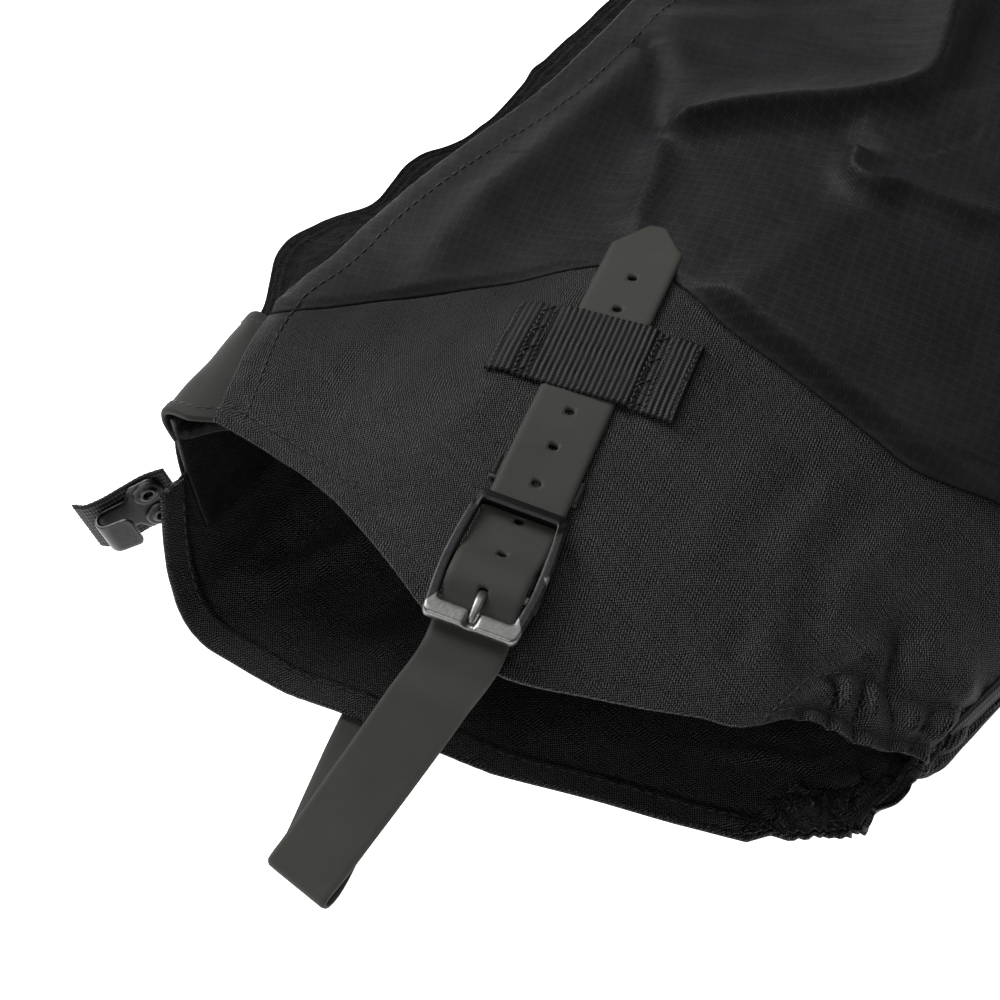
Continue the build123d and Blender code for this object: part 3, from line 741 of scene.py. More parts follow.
def webbing_material():
    """Black ribbed grosgrain with painted highlights: the rib crests and yarn tops are painted bright."""
    s = Shader("grosgrain", Specular_IOR_Level=0.12)
    across, along = s.cloth()
    place = s.object_mm()
    yarn = s.scaled(s.wave(along, 0.9, 0.5), 0.5, 0.5)
    rib = s.scaled(s.wave(across, 1.58, -math.pi / 2), 0.5, 0.5)
    fuzz = s.grain(place, 3.2, 3.0, 0.7)
    tone = s.times(rib, s.scaled(yarn, 0.6, 0.4))
    tone = s.plus(s.times(tone, 0.75), s.scaled(fuzz, 0.6, -0.25))
    tone = s.ramp(tone, 0.0, 1.0)
    # rib crests lighter than the hollows between them: painted highlight on black yarn
    color = s.mix(s.calc("POWER", tone, 1.6), grey(0.0003), grey(0.075, 0.98, 0.97, 1.0))
    normal = s.bump(yarn, 0.12, 0.7)
    normal = s.bump(fuzz, 0.12, 0.5, normal)
    return s.finish(color, 0.5, normal)


def pile_material(name, bright, scale):
    """Looped or hooked closure tape: a dense fuzzy face."""
    s = Shader(name, Specular_IOR_Level=0.05, Sheen_Weight=0.02, Sheen_Roughness=0.5)
    place = s.object_mm()
    loops = s.node("TexVoronoi", {"Vector": place, "Scale": scale}, feature="F1").outputs["Distance"]
    fuzz = s.grain(place, scale * 1.3, 4.0, 0.75)
    clump = s.grain(place, scale * 0.18, 3.0)
    tone = s.times(s.ramp(fuzz, 0.35, 0.7), s.ramp(clump, 0.25, 0.7))
    color = s.mix(tone, grey(0.0012), grey(bright, 0.98, 0.97, 1.0))
    normal = s.bump(loops, 0.5, 0.8)
    normal = s.bump(fuzz, 0.5, 0.8, normal)
    return s.finish(color, 0.75, normal)


def elastic_material():
    """Knitted flat elastic with cords along it."""
    s = Shader("flat_elastic", Specular_IOR_Level=0.15)
    across, along = s.cloth()
    cords = s.scaled(s.wave(along, 1.4), 0.5, 0.5)
    knit = s.scaled(s.wave(across, 0.8), 0.5, 0.5)
    loops = s.times(cords, knit)
    return s.finish(s.mix(loops, grey(0.004), grey(0.022)), 0.7, s.bump(loops, 0.2, 0.8))


def thread_material():
    """Twisted black sewing thread with a soft shine."""
    s = Shader("sewing_thread", Specular_IOR_Level=0.2)
    place = s.object_mm()
    twist = s.grain(place, 4.0, 2.0)
    color = s.mix(twist, grey(0.0045), grey(0.030))
    return s.finish(color, 0.45, s.bump(twist, 0.06, 0.6))


def metal_material(name, dark, bright, rough, wear):
    """Gunmetal plating, darker in the hollows and rubbed bright where wear is high."""
    s = Shader(name)
    place = s.object_mm()
    edge = s.ramp(s.node("NewGeometry").outputs["Pointiness"], 0.50, 0.56)
    cloud = s.grain(place, 0.5, 5.0, 0.6)
    scratch = s.grain(s.stretched(place, (3.0, 0.4, 1.0)), 1.6, 5.0, 0.8)
    rub = s.times(s.ramp(scratch, 0.40, 0.70), wear)
    rub = s.calc("MAXIMUM", rub, s.times(edge, 0.6))
    color = s.mix(rub, dark, bright)
    shine = s.scaled(cloud, 0.18, rough)
    normal = s.bump(cloud, 0.04, 0.4)
    return s.finish(color, shine, s.bump(scratch, 0.02, 0.4, normal), 1.0)


RIPSTOP = ripstop_material()
LOWER = lower_material()
LINING = lining_material()
STRAP = strap_material("coated_strap", 1.0)
# the tab's coating is the strap's, darkened to 0.45 as painted shade
TAB = strap_material("coated_tab_painted_shade", 0.45)
WEBBING = webbing_material()
LOOP_PILE = pile_material("loop_pile", 0.015, 1.5)
HOOK_PILE = pile_material("hook_pile", 0.014, 1.1)
ELASTIC = elastic_material()
THREAD = thread_material()
FRAME_METAL = metal_material("gunmetal_frame", (0.018, 0.018, 0.019, 1), (0.26, 0.26, 0.26, 1), 0.34, 0.10)
WORN_METAL = metal_material("gunmetal_worn", (0.11, 0.11, 0.108, 1), (0.26, 0.26, 0.25, 1), 0.30, 0.8)
HOOK_METAL = metal_material("gunmetal_hook", (0.014, 0.014, 0.015, 1), (0.10, 0.10, 0.10, 1), 0.32, 0.30)


def dress(piece, slot, *nodes, body="root"):
    """Places a finished piece on its body and hides the CAD nodes it stands for. The slot argument is not used.
    """
    if body == "hinge":  # cloth across the front flap's hinge line: its transform is baked and it goes on no body
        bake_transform(piece)
    else:
        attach(piece, body)
    if nodes:
        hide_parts(*nodes)
    return piece


# ================================================================ camera, floor and light
def make_camera():
    """A long lens from above the toe, looking up the leg."""
    azimuth, elevation = math.radians(43), math.radians(50)
    target = Vector((-7, -108, 40)) * MM
    distance = 850 * MM
    forward = Vector((
        -math.sin(azimuth) * math.cos(elevation),
        math.cos(azimuth) * math.cos(elevation),
        -math.sin(elevation),
    ))
    right = Vector((math.cos(azimuth), math.sin(azimuth), 0))
    up = right.cross(forward)
    data = bpy.data.cameras.new("camera")
    data.sensor_width = 36
    data.lens = 118.4
    data.clip_start, data.clip_end = 0.01, 20
    camera = bpy.data.objects.new("camera", data)
    turn = Matrix((right, up, -forward)).transposed()
    camera.matrix_world = Matrix.Translation(target - forward * distance) @ turn.to_4x4()
    bpy.context.scene.collection.objects.link(camera)
    bpy.context.scene.camera = camera


def make_floor():
    """White paper sweep, lit past white and glowing a little, as in an overexposed studio shot."""
    s = Shader("white_floor", Specular_IOR_Level=0.1)
    place = s.object_mm(1.0)
    color = s.mix(s.grain(place, 3.0), grey(0.90), grey(0.93))
    s.finish(color, 0.9)
    s.bsdf.inputs["Emission Color"].default_value = (1, 1, 1, 1)
    s.bsdf.inputs["Emission Strength"].default_value = 1.2
    half = 2500
    corners = [(-half, -half, 0), (half, -half, 0), (half, half, 0), (-half, half, 0)]
    new_piece("studio_floor", corners, [(0, 1, 2, 3)], [s.material], smooth=False)


def area_light(name, place, size, power):
    """A square softbox aimed at the object's middle."""
    data = bpy.data.lights.new(name, "AREA")
    data.shape = "RECTANGLE"
    data.size, data.size_y = size, size
    data.energy = power
    light = bpy.data.objects.new(name, data)
    light.location = place
    light.rotation_euler = (-Vector(place)).to_track_quat("-Z", "Y").to_euler()
    bpy.context.scene.collection.objects.link(light)


def make_light():
    """Three softboxes and a dim world, shown without a film curve."""
    world = bpy.data.worlds.new("studio")
    world.use_nodes = True
    background = world.node_tree.nodes["Background"]
    background.inputs["Color"].default_value = (1, 1, 1, 1)
    background.inputs["Strength"].default_value = 0.12
    bpy.context.scene.world = world
    area_light("left_softbox", (-1.15, 0.05, 1.12), 0.9, 35)
    area_light("front_softbox", (0.35, -1.15, 1.15), 0.9, 11)
    area_light("overhead_softbox", (-0.3, 0.5, 1.6), 1.5, 10)
    bpy.context.scene.view_settings.view_transform = "Standard"


make_camera()
make_floor()
make_light()


# ================================================================ tube panels
CLOTH = 0.6
HEM_THICK = 1.35
EDGE_BAND = 7.0
UNIT_ARC = 36.0  # mm of wall in one ring step on the upper side
SEAM_LAP = 6.0  # the lower panels run this far up under the upper ones


def thicker_edge(distance):
    """Cloth thickness at a distance from a folded edge."""
    return CLOTH + (HEM_THICK - CLOTH) * (1 - ease((distance - EDGE_BAND + 0.6) / 1.2))


def tuck(x, y, depth):
    """How far a lower panel goes under the upper one at the seam."""
    return depth * ease((y - seam_line(x) + 1.5) / 2.5)


def lateral_panel(name, low_line, step, is_lower):
    """One upper-side panel with its share of the front flap. Its columns are dense at the free edge."""
    dense = FINE_EDGE / ((BACK_SEAM - EDGE_U) * UNIT_ARC)
    rest = np.linspace(dense[-1], 1, int((BACK_SEAM - EDGE_U) * UNIT_ARC / step))[1:]
    shares = np.concatenate([dense, rest])

    def position(y):
        edge = flap_edge(y)
        return edge + (BACK_SEAM - edge) * shares

    low = meet(position, low_line)
    high = meet(position, seam_line, SEAM_LAP) if is_lower else np.full(shares.shape, LEG_TOP)
    y = graded(low, high, step)
    edge = flap_edge(y)
    u = edge + (BACK_SEAM - edge) * shares[None, :]
    p = wall_point(u, y)
    from_edge = np.linalg.norm(p - wall_point(edge, y), axis=-1)
    from_low = y - low[None, :]
    thick = thicker_edge(np.minimum(from_edge, from_low) if is_lower else from_edge)
    rounding = np.maximum(roll(from_edge), roll(from_low))
    stitch_dent = 0.25 * bell((from_edge - HEM_STITCH) / 0.7)
    if is_lower:
        under, materials, uv = tuck(p[..., 0], y, 1.3), [LOWER, LINING], spread(p)
    else:
        under, materials, uv = 0, [RIPSTOP, LINING], turned_grain(spread(p), GRAIN_TURN)
        thick = np.maximum(thick, CLOTH + 0.6 * (1 - ease((from_low - 3) / 2)))
    return layer_piece(
        name, u, y, rounding + under + stitch_dent, thick - rounding * 0.9 + under,
        materials, lateral_hem, uv,
    )


def medial_panel(name, low_line, step, is_lower):
    """One lower-side panel, from the back seam under the leg to the front wall."""
    whole = MEDIAL_END - BACK_SEAM
    columns = BACK_SEAM + whole * np.linspace(0, 1, int(whole * 22 / step * 0.9))

    def position(y):
        return columns

    low = meet(position, low_line)
    high = meet(position, seam_line, SEAM_LAP) if is_lower else np.full(columns.shape, LEG_TOP)
    y = graded(low, high, step)
    u = np.broadcast_to(columns, y.shape)
    p = wall_point(u, y)
    from_low = y - low[None, :]
    rounding = roll(from_low)
    under = tuck(p[..., 0], y, 0.8) if is_lower else 0
    thick = thicker_edge(from_low) if is_lower else CLOTH
    materials = [LOWER] if is_lower else [RIPSTOP, LINING]
    return layer_piece(
        name, u, y, rounding * 0.5 + under, thick - rounding * 0.9 + under, materials, medial_hem, spread(p),
    )


dress(
    lateral_panel("lateral_lower_cloth", lateral_hem, 1.1, True),
    "lower_fabric", "lateral_lower_panel", "flap_lower_panel", body="hinge",
)
dress(
    lateral_panel("lateral_upper_cloth", seam_line, 1.25, False),
    "upper_ripstop", "lateral_upper_panel", "flap_upper_panel", body="hinge",
)
dress(medial_panel("medial_lower_cloth", medial_hem, 1.6, True), "lower_fabric", "medial_lower_panel")
dress(medial_panel("medial_upper_cloth", seam_line, 2.4, False), "upper_ripstop", "medial_upper_panel")


# ================================================================ inside bands: hems, heel, casings
HEEL_LATERAL, HEEL_MEDIAL = 9.8, 13.15  # ring positions where the heel's casing starts and ends


def hem_fold(name, position, hem):
    """The hem's cloth turned up inside the wall, from just above its edge."""
    low = meet(position, hem) + 0.25
    y = graded(low, low + 8.0, 1.4)
    u = np.broadcast_to(position(low), y.shape)
    rounding = roll(y - low[None, :], 0.35)
    depth = HEM_THICK - 0.1
    return layer_piece(name, u, y, depth + rounding, depth + 0.6 - rounding * 0.8, [LOWER], hem)


def between(first, last, step=1.4):
    """Fixed columns from one ring position to another."""
    columns = np.linspace(first, last, int((last - first) * 30 / step))
    return lambda y: columns


def from_flap_edge(last, inset=0.6, step=1.4):
    """Columns that start just inside the flap's free edge."""
    shares = np.linspace(0, 1, int((last - EDGE_U) * UNIT_ARC / step))

    def position(y):
        edge = flap_edge(y) + inset / UNIT_ARC
        return edge + (last - edge) * shares

    return position


dress(
    hem_fold("lateral_hem_fold", from_flap_edge(HEEL_LATERAL), lateral_hem),
    "lower_fabric", "lateral_hem_facing", "flap_hem_facing", body="hinge",
)
dress(
    hem_fold("medial_hem_fold", between(HEEL_MEDIAL, MEDIAL_END), medial_hem),
    "lower_fabric", "medial_hem_facing",
)


def heel_band(name, depth, thick, materials, low_gap, width):
    """A strip round the heel on both sides of the back seam."""
    columns = np.linspace(HEEL_LATERAL, HEEL_MEDIAL, 190)
    share = ease((columns - 10.7) / 0.6)
    hem_y = [meet(lambda y: columns, line) for line in (lateral_hem, medial_hem)]
    low = hem_y[0] * (1 - share) + hem_y[1] * share + low_gap
    y = graded(low, low + width, 1.0)
    u = np.broadcast_to(columns, y.shape)

    def hem(x):
        return np.broadcast_to(low - low_gap, x.shape)

    return layer_piece(name, u, y, depth, depth + thick, materials, hem)


dress(
    heel_band("heel_elastic_strip", HEM_THICK, 0.8, [ELASTIC], 6.0, 12.5), "elastic", "heel_elastic",
)
dress(
    heel_band("heel_casing_cloth", HEM_THICK + 0.9, 0.5, [LOWER], 0.8, 20.0), "lower_fabric", "heel_casing",
)


def seam_binding():
    """Grosgrain tape over the raw edges of the back seam, inside."""
    columns = np.linspace(BACK_SEAM - 0.25, BACK_SEAM + 0.8, 14)
    low = np.full(columns.shape, -72.0)
    y = graded(low, low * 0 + LEG_TOP - CASING, 2.5, False)
    return layer_piece("back_seam_tape", np.broadcast_to(columns, y.shape), y, 0.75, 1.5, [WEBBING])


dress(seam_binding(), "grosgrain", "back_seam_binding")


def top_band(name, position):
    """Hemmed casing inside the top edge of the leg."""
    low = np.full(position(np.full(1, 200.0)).shape, LEG_TOP - CASING)
    y = graded(low, low + CASING - 0.3, 2.0, False)
    return layer_piece(name, np.stack([position(row) for row in y]), y, 0.7, 1.4, [RIPSTOP])


dress(
    top_band("top_casing_cloth", from_flap_edge(BACK_SEAM, 1.0, 2.0)),
    "upper_ripstop", "lateral_top_casing", "flap_top_casing", body="hinge",
)
dress(
    top_band("medial_top_casing_cloth", between(BACK_SEAM, MEDIAL_END, 2.4)),
    "upper_ripstop", "medial_top_casing",
)


# ================================================================ front closure
def rim_height(y):
    """Height of the tape's wavy front rim."""
    edge_z = smooth_values(y, STATION_Y, STATIONS[:, 3])
    return np.minimum(49 - 5 * ease((y + 125) / 30), edge_z - 2.5)


front_y = np.linspace(-155.2, LEG_TOP - 0.4, 330)  # rows of the closure's strips


def rim(y, drop=0.0):
    """Points of the wavy rim that stands out beyond the flap."""
    ripple = 1.1 * np.sin(y / 8.3) * ease((y + 118) / 20) + 0.8 * noise(y, 0 * y, 14, 41)
    x = tape_rim_x(y) + 0.5 * noise(y, 0 * y, 6, 42)
    return np.stack([x, y, rim_height(y) + ripple - drop], axis=-1)


def curve_through(start, bend, end, shares):
    """Points on a soft bend from start to end for every row."""
    t = shares[None, :, None]
    return (1 - t) ** 2 * start[:, None] + 2 * t * (1 - t) * bend[:, None] + t**2 * end[:, None]


def trim_low(points, offsets, reach=26.0):
    """The strip's low ends moved up by an offset for each column, so that they follow the hem."""
    trimmed = points.copy()
    y = points[:, 0, 1]
    for k, offset in enumerate(offsets):
        spots = y + offset * (1 - ease((y - y[0]) / reach))
        for axis in range(3):
            trimmed[:, k, axis] = np.interp(spots, points[:, k, 1], points[:, k, axis])
    return trimmed


def strip_normals(points):
    """Outward directions of a grid of points."""
    return unit(np.cross(np.gradient(points, axis=1), np.gradient(points, axis=0)))


def below_wall(u, y, depth):
    """Points at a depth inside the plain wall."""
    return wall_point(u, y) - wall_normal(u, y) * depth


def tape_surface(drop, inner_u, inner_depth):
    """The tape's top face from its wavy rim to a line hidden under the flap."""
    shares = np.concatenate([np.linspace(0, 0.3, 26), np.linspace(0.3, 1, 24)[1:]])
    start = rim(front_y, drop)
    end_u = np.full(front_y.shape, inner_u)
    end = below_wall(end_u, front_y, inner_depth)
    bend = below_wall(flap_edge(front_y) - 0.02, front_y, inner_depth + 2.6)
    return curve_through(start, bend, end, shares), shares


def loop_tape_piece():
    """Loop tape with a thick bound rim of two parallel ridges, waving where the flap lets it out."""
    points, shares = tape_surface(0.0, 5.72, 2.6)
    points = trim_low(points, 8.0 * ease(shares * 1.6))
    normals = strip_normals(points)
    from_rim = np.linalg.norm(points - points[:, :1], axis=-1)
    ridges = 0.9 * bell((from_rim - 0.9) / 0.5) + 0.8 * bell((from_rim - 3.0) / 0.6)
    ridges += 0.55 * bell((from_rim - 5.4) / 0.7)
    pile = 0.34 * noise(points[..., 0] * 1.1, points[..., 1], 1.2, 43) * ease((from_rim - 1.4) / 1.0)
    rounding = roll(from_rim, 0.9)
    outer = points + normals * (ridges + pile - rounding)[..., None]
    inner = points - normals * (1.9 - rounding * 0.6)[..., None]
    return sheet_piece("loop_tape_pile", outer, inner, [LOOP_PILE, RIPSTOP])


dress(loop_tape_piece(), "loop_pile", "loop_tape")


def underflap_piece():
    """Front wall cloth that rises to the wavy rim and turns back under the flap."""
    low_u = np.full(front_y.shape, RING + 3.1)
    start = wall_point(low_u, front_y)
    top = rim(front_y, 2.2)
    belly = np.stack([top[:, 0] - 1.0, front_y, start[:, 2] * 0.55 + top[:, 2] * 0.45], axis=-1)
    rise = curve_through(start, belly, top, np.linspace(0, 1, 30))
    end = below_wall(np.full(front_y.shape, 5.8), front_y, 5.2)
    bend = below_wall(flap_edge(front_y), front_y, 6.4)
    back = curve_through(top, bend, end, np.linspace(0, 1, 26)[1:])
    points = np.concatenate([rise, back], axis=1)
    points = trim_low(points, np.concatenate([0.8 * np.ones(30), 0.8 + 8.0 * ease(np.linspace(0, 1.6, 25))]))
    normals = strip_normals(points)
    points = points + normals * 0.5 * noise(points[..., 1], points[..., 2], 12, 45)[..., None]
    return sheet_piece("front_underflap_cloth", points, points - normals * CLOTH, [RIPSTOP, LINING])


dress(underflap_piece(), "upper_ripstop", "front_underflap")


def front_wall_tape_piece():
    """Pile tape laid along the front wall, with raised edges at three shares of its width."""
    first, last = 3.2, 4.75
    u, y = np.meshgrid(np.linspace(first, last, 26), front_y)
    share = (u - first) / (last - first)
    raised = sum(0.5 * bell((share - edge) / 0.05) for edge in (0.06, 0.2, 0.94))
    fluff = 0.2 * noise(u * 40, y, 1.2, 47)
    return layer_piece("front_wall_pile", u, y, 1.0, 2.4 + raised + fluff, [RIPSTOP, LOOP_PILE])


dress(front_wall_tape_piece(), "loop_pile", "front_wall_tape")


def hook_tape_piece():
    """Hook tape under the flap, following the flap's cloth."""
    y = np.linspace(-143, LEG_TOP - CASING - 1, 190)
    shares = np.linspace(0.07, 0.72, 26)
    edge = flap_edge(y)[:, None]
    u = edge + (HINGE - edge) * shares[None, :]
    rows = np.repeat(y[:, None], len(shares), axis=1)
    prickle = 0.12 * noise(u * 40, rows, 1.3, 48)
    return layer_piece("hook_tape_pile", u, rows, CLOTH + 0.15, CLOTH + 1.3 + prickle, [HOOK_PILE])


dress(hook_tape_piece(), "hook_pile", "hook_tape", body="front_flap")

TAB_LOW, TAB_HIGH = -155.5, -114.5
TAB_ROUTE = 42  # mm from the tab's hidden end to its curled one


def closure_tab_points(y, shares, depth):
    """The coated tab: from under the flap's edge, out over the front edge and curling down."""
    edge = flap_edge(y)
    up = y[:, :1] if y.ndim == 2 else y
    low_edge = TAB_LOW + 6.0 * ease((0.42 - shares) / 0.34)
    keep = ease((up - TAB_LOW) / 30.0)
    y = y + (low_edge - TAB_LOW) * (1 - keep)
    inner = below_wall(edge + 0.16, y, 1.6)
    over = below_wall(edge + 0.02, y, 1.0)
    along = (y - TAB_LOW) / (TAB_HIGH - TAB_LOW)
    front_x = -82.2 - 10.3 * np.clip(along, 0, 1)
    front_z = 55.6 - 3.5 * along
    front = np.stack([front_x, y, front_z], axis=-1)
    crest = (over + front) / 2 + np.array((-0.6, 0, 1.9))
    turn = front + np.array((-0.3, 0, -4.2))
    end = front + np.array((3.4, 0, -9.0))
    stops = (0.0, 0.16, 0.42, 0.68, 0.82, 1.0)
    route = np.stack([inner, over, crest, front, turn, end])

    def along_route(weights):
        return np.einsum("...s,s...k->...k", weights, route)

    def weights_at(spots):
        return smooth_values(spots.ravel(), stops, np.eye(6)).reshape(spots.shape + (6,))

    ahead, behind = (weights_at(np.clip(shares + step, 0, 1)) for step in (0.02, -0.02))
    way = along_route(ahead - behind)
    out = unit(np.cross(np.broadcast_to((0, 1.0, 0), way.shape), way))
    return along_route(weights_at(shares)) - out * np.asarray(depth)[..., None]


def closure_tab_piece():
    """Pull tab with folded ends: thicker, rounded bands at its lower and upper edges."""
    middle_rows = np.linspace(TAB_LOW + 3.6, TAB_HIGH - 2, 40)
    rows = np.sort(np.concatenate([TAB_LOW + FINE_EDGE * 1.1, middle_rows, TAB_HIGH - FINE_EDGE[:-2] * 0.8]))
    y, s = np.meshgrid(rows, np.linspace(1, 0, 60), indexing="ij")
    from_end = np.minimum(y - TAB_LOW, TAB_HIGH - y)
    swell = 0.55 * (1 - ease((y - TAB_LOW - 3.0) / 1.0)) + 0.3 * (1 - ease((TAB_HIGH - y - 3.0) / 1.0))
    rounding = np.maximum(roll(from_end, 0.8), roll((1 - s) * TAB_ROUTE, 0.6))
    buckle_wave = 0.35 * noise(y, s * 30, 10, 51)
    outer = closure_tab_points(y, s, rounding - swell - buckle_wave)
    inner = closure_tab_points(y, s, 1.15 - rounding * 0.8 + swell * 0.4 - buckle_wave)
    return sheet_piece("closure_tab_coated", outer, inner, [TAB], np.stack([(s - 1) * TAB_ROUTE, y], axis=-1))


dress(closure_tab_piece(), "coated_strap", "closure_tab", body="front_flap")


# ================================================================ stitches
def tube(path, radii, sides=6):
    """Closed tube along a short path."""
    path = np.asarray(path, float)
    way = unit(np.gradient(path, axis=0))
    first = unit(np.cross(way, np.array((0.31, 0.42, 0.85))))
    second = np.cross(way, first)
    turns = (np.arange(sides) * 2 * np.pi / sides)[None, :, None]
    circle = first[:, None] * np.cos(turns) + second[:, None] * np.sin(turns)
    return capped_tube(path[:, None] + circle * np.asarray(radii)[:, None, None])


STITCH_RISE = np.array((-0.22, 0.08, 0.16, 0.16, 0.08, -0.22))
STITCH_SHARE = np.array((0, 0.14, 0.38, 0.62, 0.86, 1.0))
STITCH_TAPER = np.array((0.7, 1, 1, 1, 1, 0.7))


def stitch_row(path, normals, pitch=3.3, fill=0.66, radius=0.24):
    """Thread stitches sunk a little into the cloth along a path."""
    path, normals = np.asarray(path, float), np.asarray(normals, float)
    lengths = running_length(path)
    parts = []
    for k in range(int(lengths[-1] / pitch)):
        at = (k + 0.2) * pitch + STITCH_SHARE * pitch * fill
        points, out = (
            np.stack([np.interp(at, lengths, line[:, i]) for i in range(3)], -1) for line in (path, normals)
        )
        parts.append(tube(points + unit(out) * STITCH_RISE[:, None], radius * STITCH_TAPER))
    return parts


def thread_piece(name, parts, slot, body="root"):
    """All the stitches of one seam as a piece."""
    verts, faces = joined(parts)
    return dress(new_piece(name, verts, faces, [THREAD]), slot, body=body)


def row_on_cloth(u, y, hem, pitch=3.3, inside=False):
    """Stitches along a line of (u, y) on the cloth's outer or inner face."""
    points = cloth(u, y, (HEM_THICK + 0.5 if inside else 0.0) + 0 * y, hem)
    return stitch_row(points, wall_normal(u, y) * (-1 if inside else 1), pitch)


def hem_row(position, hem, inside):
    """The hem's topstitching on one face."""
    low = meet(position, hem, HEM_STITCH)
    return row_on_cloth(position(low), low, hem, inside=inside)


hem_columns = from_flap_edge(9.1, 1.5, 1.0)
thread_piece(
    "lateral_hem_stitches",
    hem_row(hem_columns, lateral_hem, False) + hem_row(hem_columns, lateral_hem, True),
    "lower_fabric", "hinge",
)
medial_columns = between(HEEL_MEDIAL, RING + 3.6, 1.0)
thread_piece("medial_hem_stitches", hem_row(medial_columns, medial_hem, True), "lower_fabric")

edge_y = np.linspace(-147, LEG_TOP - 3, 300)
edge_row = row_on_cloth(flap_edge(edge_y) + HEM_STITCH / UNIT_ARC, edge_y, lateral_hem)
thread_piece("flap_edge_stitches", edge_row, "lower_fabric", "front_flap")


def casing_rows():
    """Rows that hold the heel elastic, on the outside."""
    parts = []
    columns = np.linspace(HEEL_LATERAL, BACK_SEAM + 0.4, 160)
    for shift in (5.5, CASING):
        parts += row_on_cloth(columns, meet(lambda y: columns, lateral_hem, shift), lateral_hem, 2.9)
    up = meet(lambda y: np.full(1, HEEL_LATERAL), lateral_hem)[0]
    y = np.linspace(up + 1, up + CASING, 20)
    return parts + row_on_cloth(np.full(20, HEEL_LATERAL - 0.02), y, lateral_hem, 2.9)


thread_piece("heel_casing_stitches", casing_rows(), "lower_fabric")

top_columns = np.linspace(6.4, RING + 3.6, 420)
top_row = row_on_cloth(top_columns, np.full(top_columns.shape, LEG_TOP - CASING), None)
thread_piece("top_casing_stitches", top_row, "upper_ripstop")


def tab_rows():
    """Topstitching along the tab's two folded ends."""
    parts = []
    for y0 in (TAB_LOW + 3.9, TAB_HIGH - 3.6):
        shares = np.linspace(0.18, 0.95, 60)
        y = np.full(60, y0)
        points = closure_tab_points(y, shares, 0 * y)
        u = flap_edge(y) + 0.16 + (4.55 - flap_edge(y) - 0.16) * shares
        parts += stitch_row(points, wall_normal(u, y), 2.8)
    return parts


thread_piece("closure_tab_stitches", tab_rows(), "coated_strap", "front_flap")


# ================================================================ instep strap
STRAP_WIDTH, STRAP_THICK, HOLE_PITCH, HOLE_RADIUS = 20.0, 1.6, 13.0, 1.3
LEAN = math.radians(23.5)
UPWARD = np.array((0, 0, 1.0))
BAR = np.array((24.9, -146.2, 68.0))
UP_STRAP = np.array((-math.sin(LEAN), math.cos(LEAN), 0.0))
BUCKLE_ROLL = -0.14


def across(roll_share):
    """Direction across the strap, rising by a share of its width."""
    return unit(np.array((math.cos(LEAN), math.sin(LEAN), roll_share)))


BUCKLE_X = across(BUCKLE_ROLL)
BUCKLE_N = np.cross(BUCKLE_X, UP_STRAP)


def at_buckle(points):
    """Points given as across, up the strap and out, in the buckle's own frame."""
    points = np.asarray(points, float)
    return BAR + points[..., :1] * BUCKLE_X + points[..., 1:2] * UP_STRAP + points[..., 2:] * BUCKLE_N


TAIL_END = 136  # the strap's tip, up from the bar
# distance along the strap up from the bar, height over the bar, sideways roll
TAIL = [(TAIL_END, -7.6, 0.08), (96, -4.2, 0.02), (70, -3.6, -0.05), (43, -2.6, BUCKLE_ROLL)]
TAIL += [(18.5, -2.4, BUCKLE_ROLL), (11, -1.4, BUCKLE_ROLL), (3.0, 1.5, BUCKLE_ROLL)]
TAIL += [(-2.5, 1.6, BUCKLE_ROLL), (-8, -1.9, BUCKLE_ROLL), (-12.2, -3.9, BUCKLE_ROLL)]
TAIL += [(-18.0, -4.8, BUCKLE_ROLL)]
FOLD_AT = np.array((19.5, -209.0))  # the strap turns back here under the foot
FOLD_RADIUS = 1.7
FLOOR_RUN = STRAP_THICK / 2 + 0.1  # height of the strap's middle layer where it lies on the floor
STRAP_TIP = 10.0


def strap_route():
    """Middle points and width directions from the strap's tip down to its sewn end."""
    middles, sides = [], []
    for travel, height, lift in TAIL:
        middles.append(BAR + UP_STRAP * travel + np.array((0, 0, height)))
        sides.append(across(lift))
    low = np.array((*FOLD_AT, 2 * FOLD_RADIUS + FLOOR_RUN))
    high = middles[-1]
    fold_side = np.array((1.0, 0, 0))
    for share in (0.22, 0.48, 0.74, 0.94):
        sag = np.array((0, 0, -0.8 * math.sin(math.pi * share)))
        middles.append(high + (low - high) * share + sag)
        sides.append(unit(BUCKLE_X * (1 - share) + fold_side * share))
    for turn in (20, 55, 90, 125, 160):
        angle = math.radians(turn)
        y, z = FOLD_AT[1] - FOLD_RADIUS * math.sin(angle), FLOOR_RUN + FOLD_RADIUS * (1 + math.cos(angle))
        middles.append(np.array((FOLD_AT[0], y, z)))
        sides.append(fold_side)
    for x, y in ((18.8, -206.0), (16.5, -200.0), (10, -185.5), (3.0, -170.0), (-8.0, -143.0)):
        middles.append(np.array((x, y, FLOOR_RUN)))
        sides.append(across(0))
    return np.array(middles), np.array(sides)


route_middles, route_sides = strap_route()
route_lengths = running_length(route_middles)
STRAP_LENGTH = float(route_lengths[-1])


def strap_place(run, side, out):
    """A point on the strap: run from its tip, side from its middle line, out from its middle layer."""
    middle = smooth_values(run, route_lengths, route_middles)
    width_way = unit(smooth_values(run, route_lengths, route_sides))
    ahead = smooth_values(run + 0.3, route_lengths, route_middles)
    behind = smooth_values(run - 0.3, route_lengths, route_middles)
    normal = unit(np.cross(unit(ahead - behind), width_way))
    return middle + width_way * side[..., None] + normal * out[..., None]


def tip_share(run, tip):
    """Share of the full width near the blunt pointed tip."""
    return 0.2 + 0.8 * np.clip(run / tip, 0, 1)


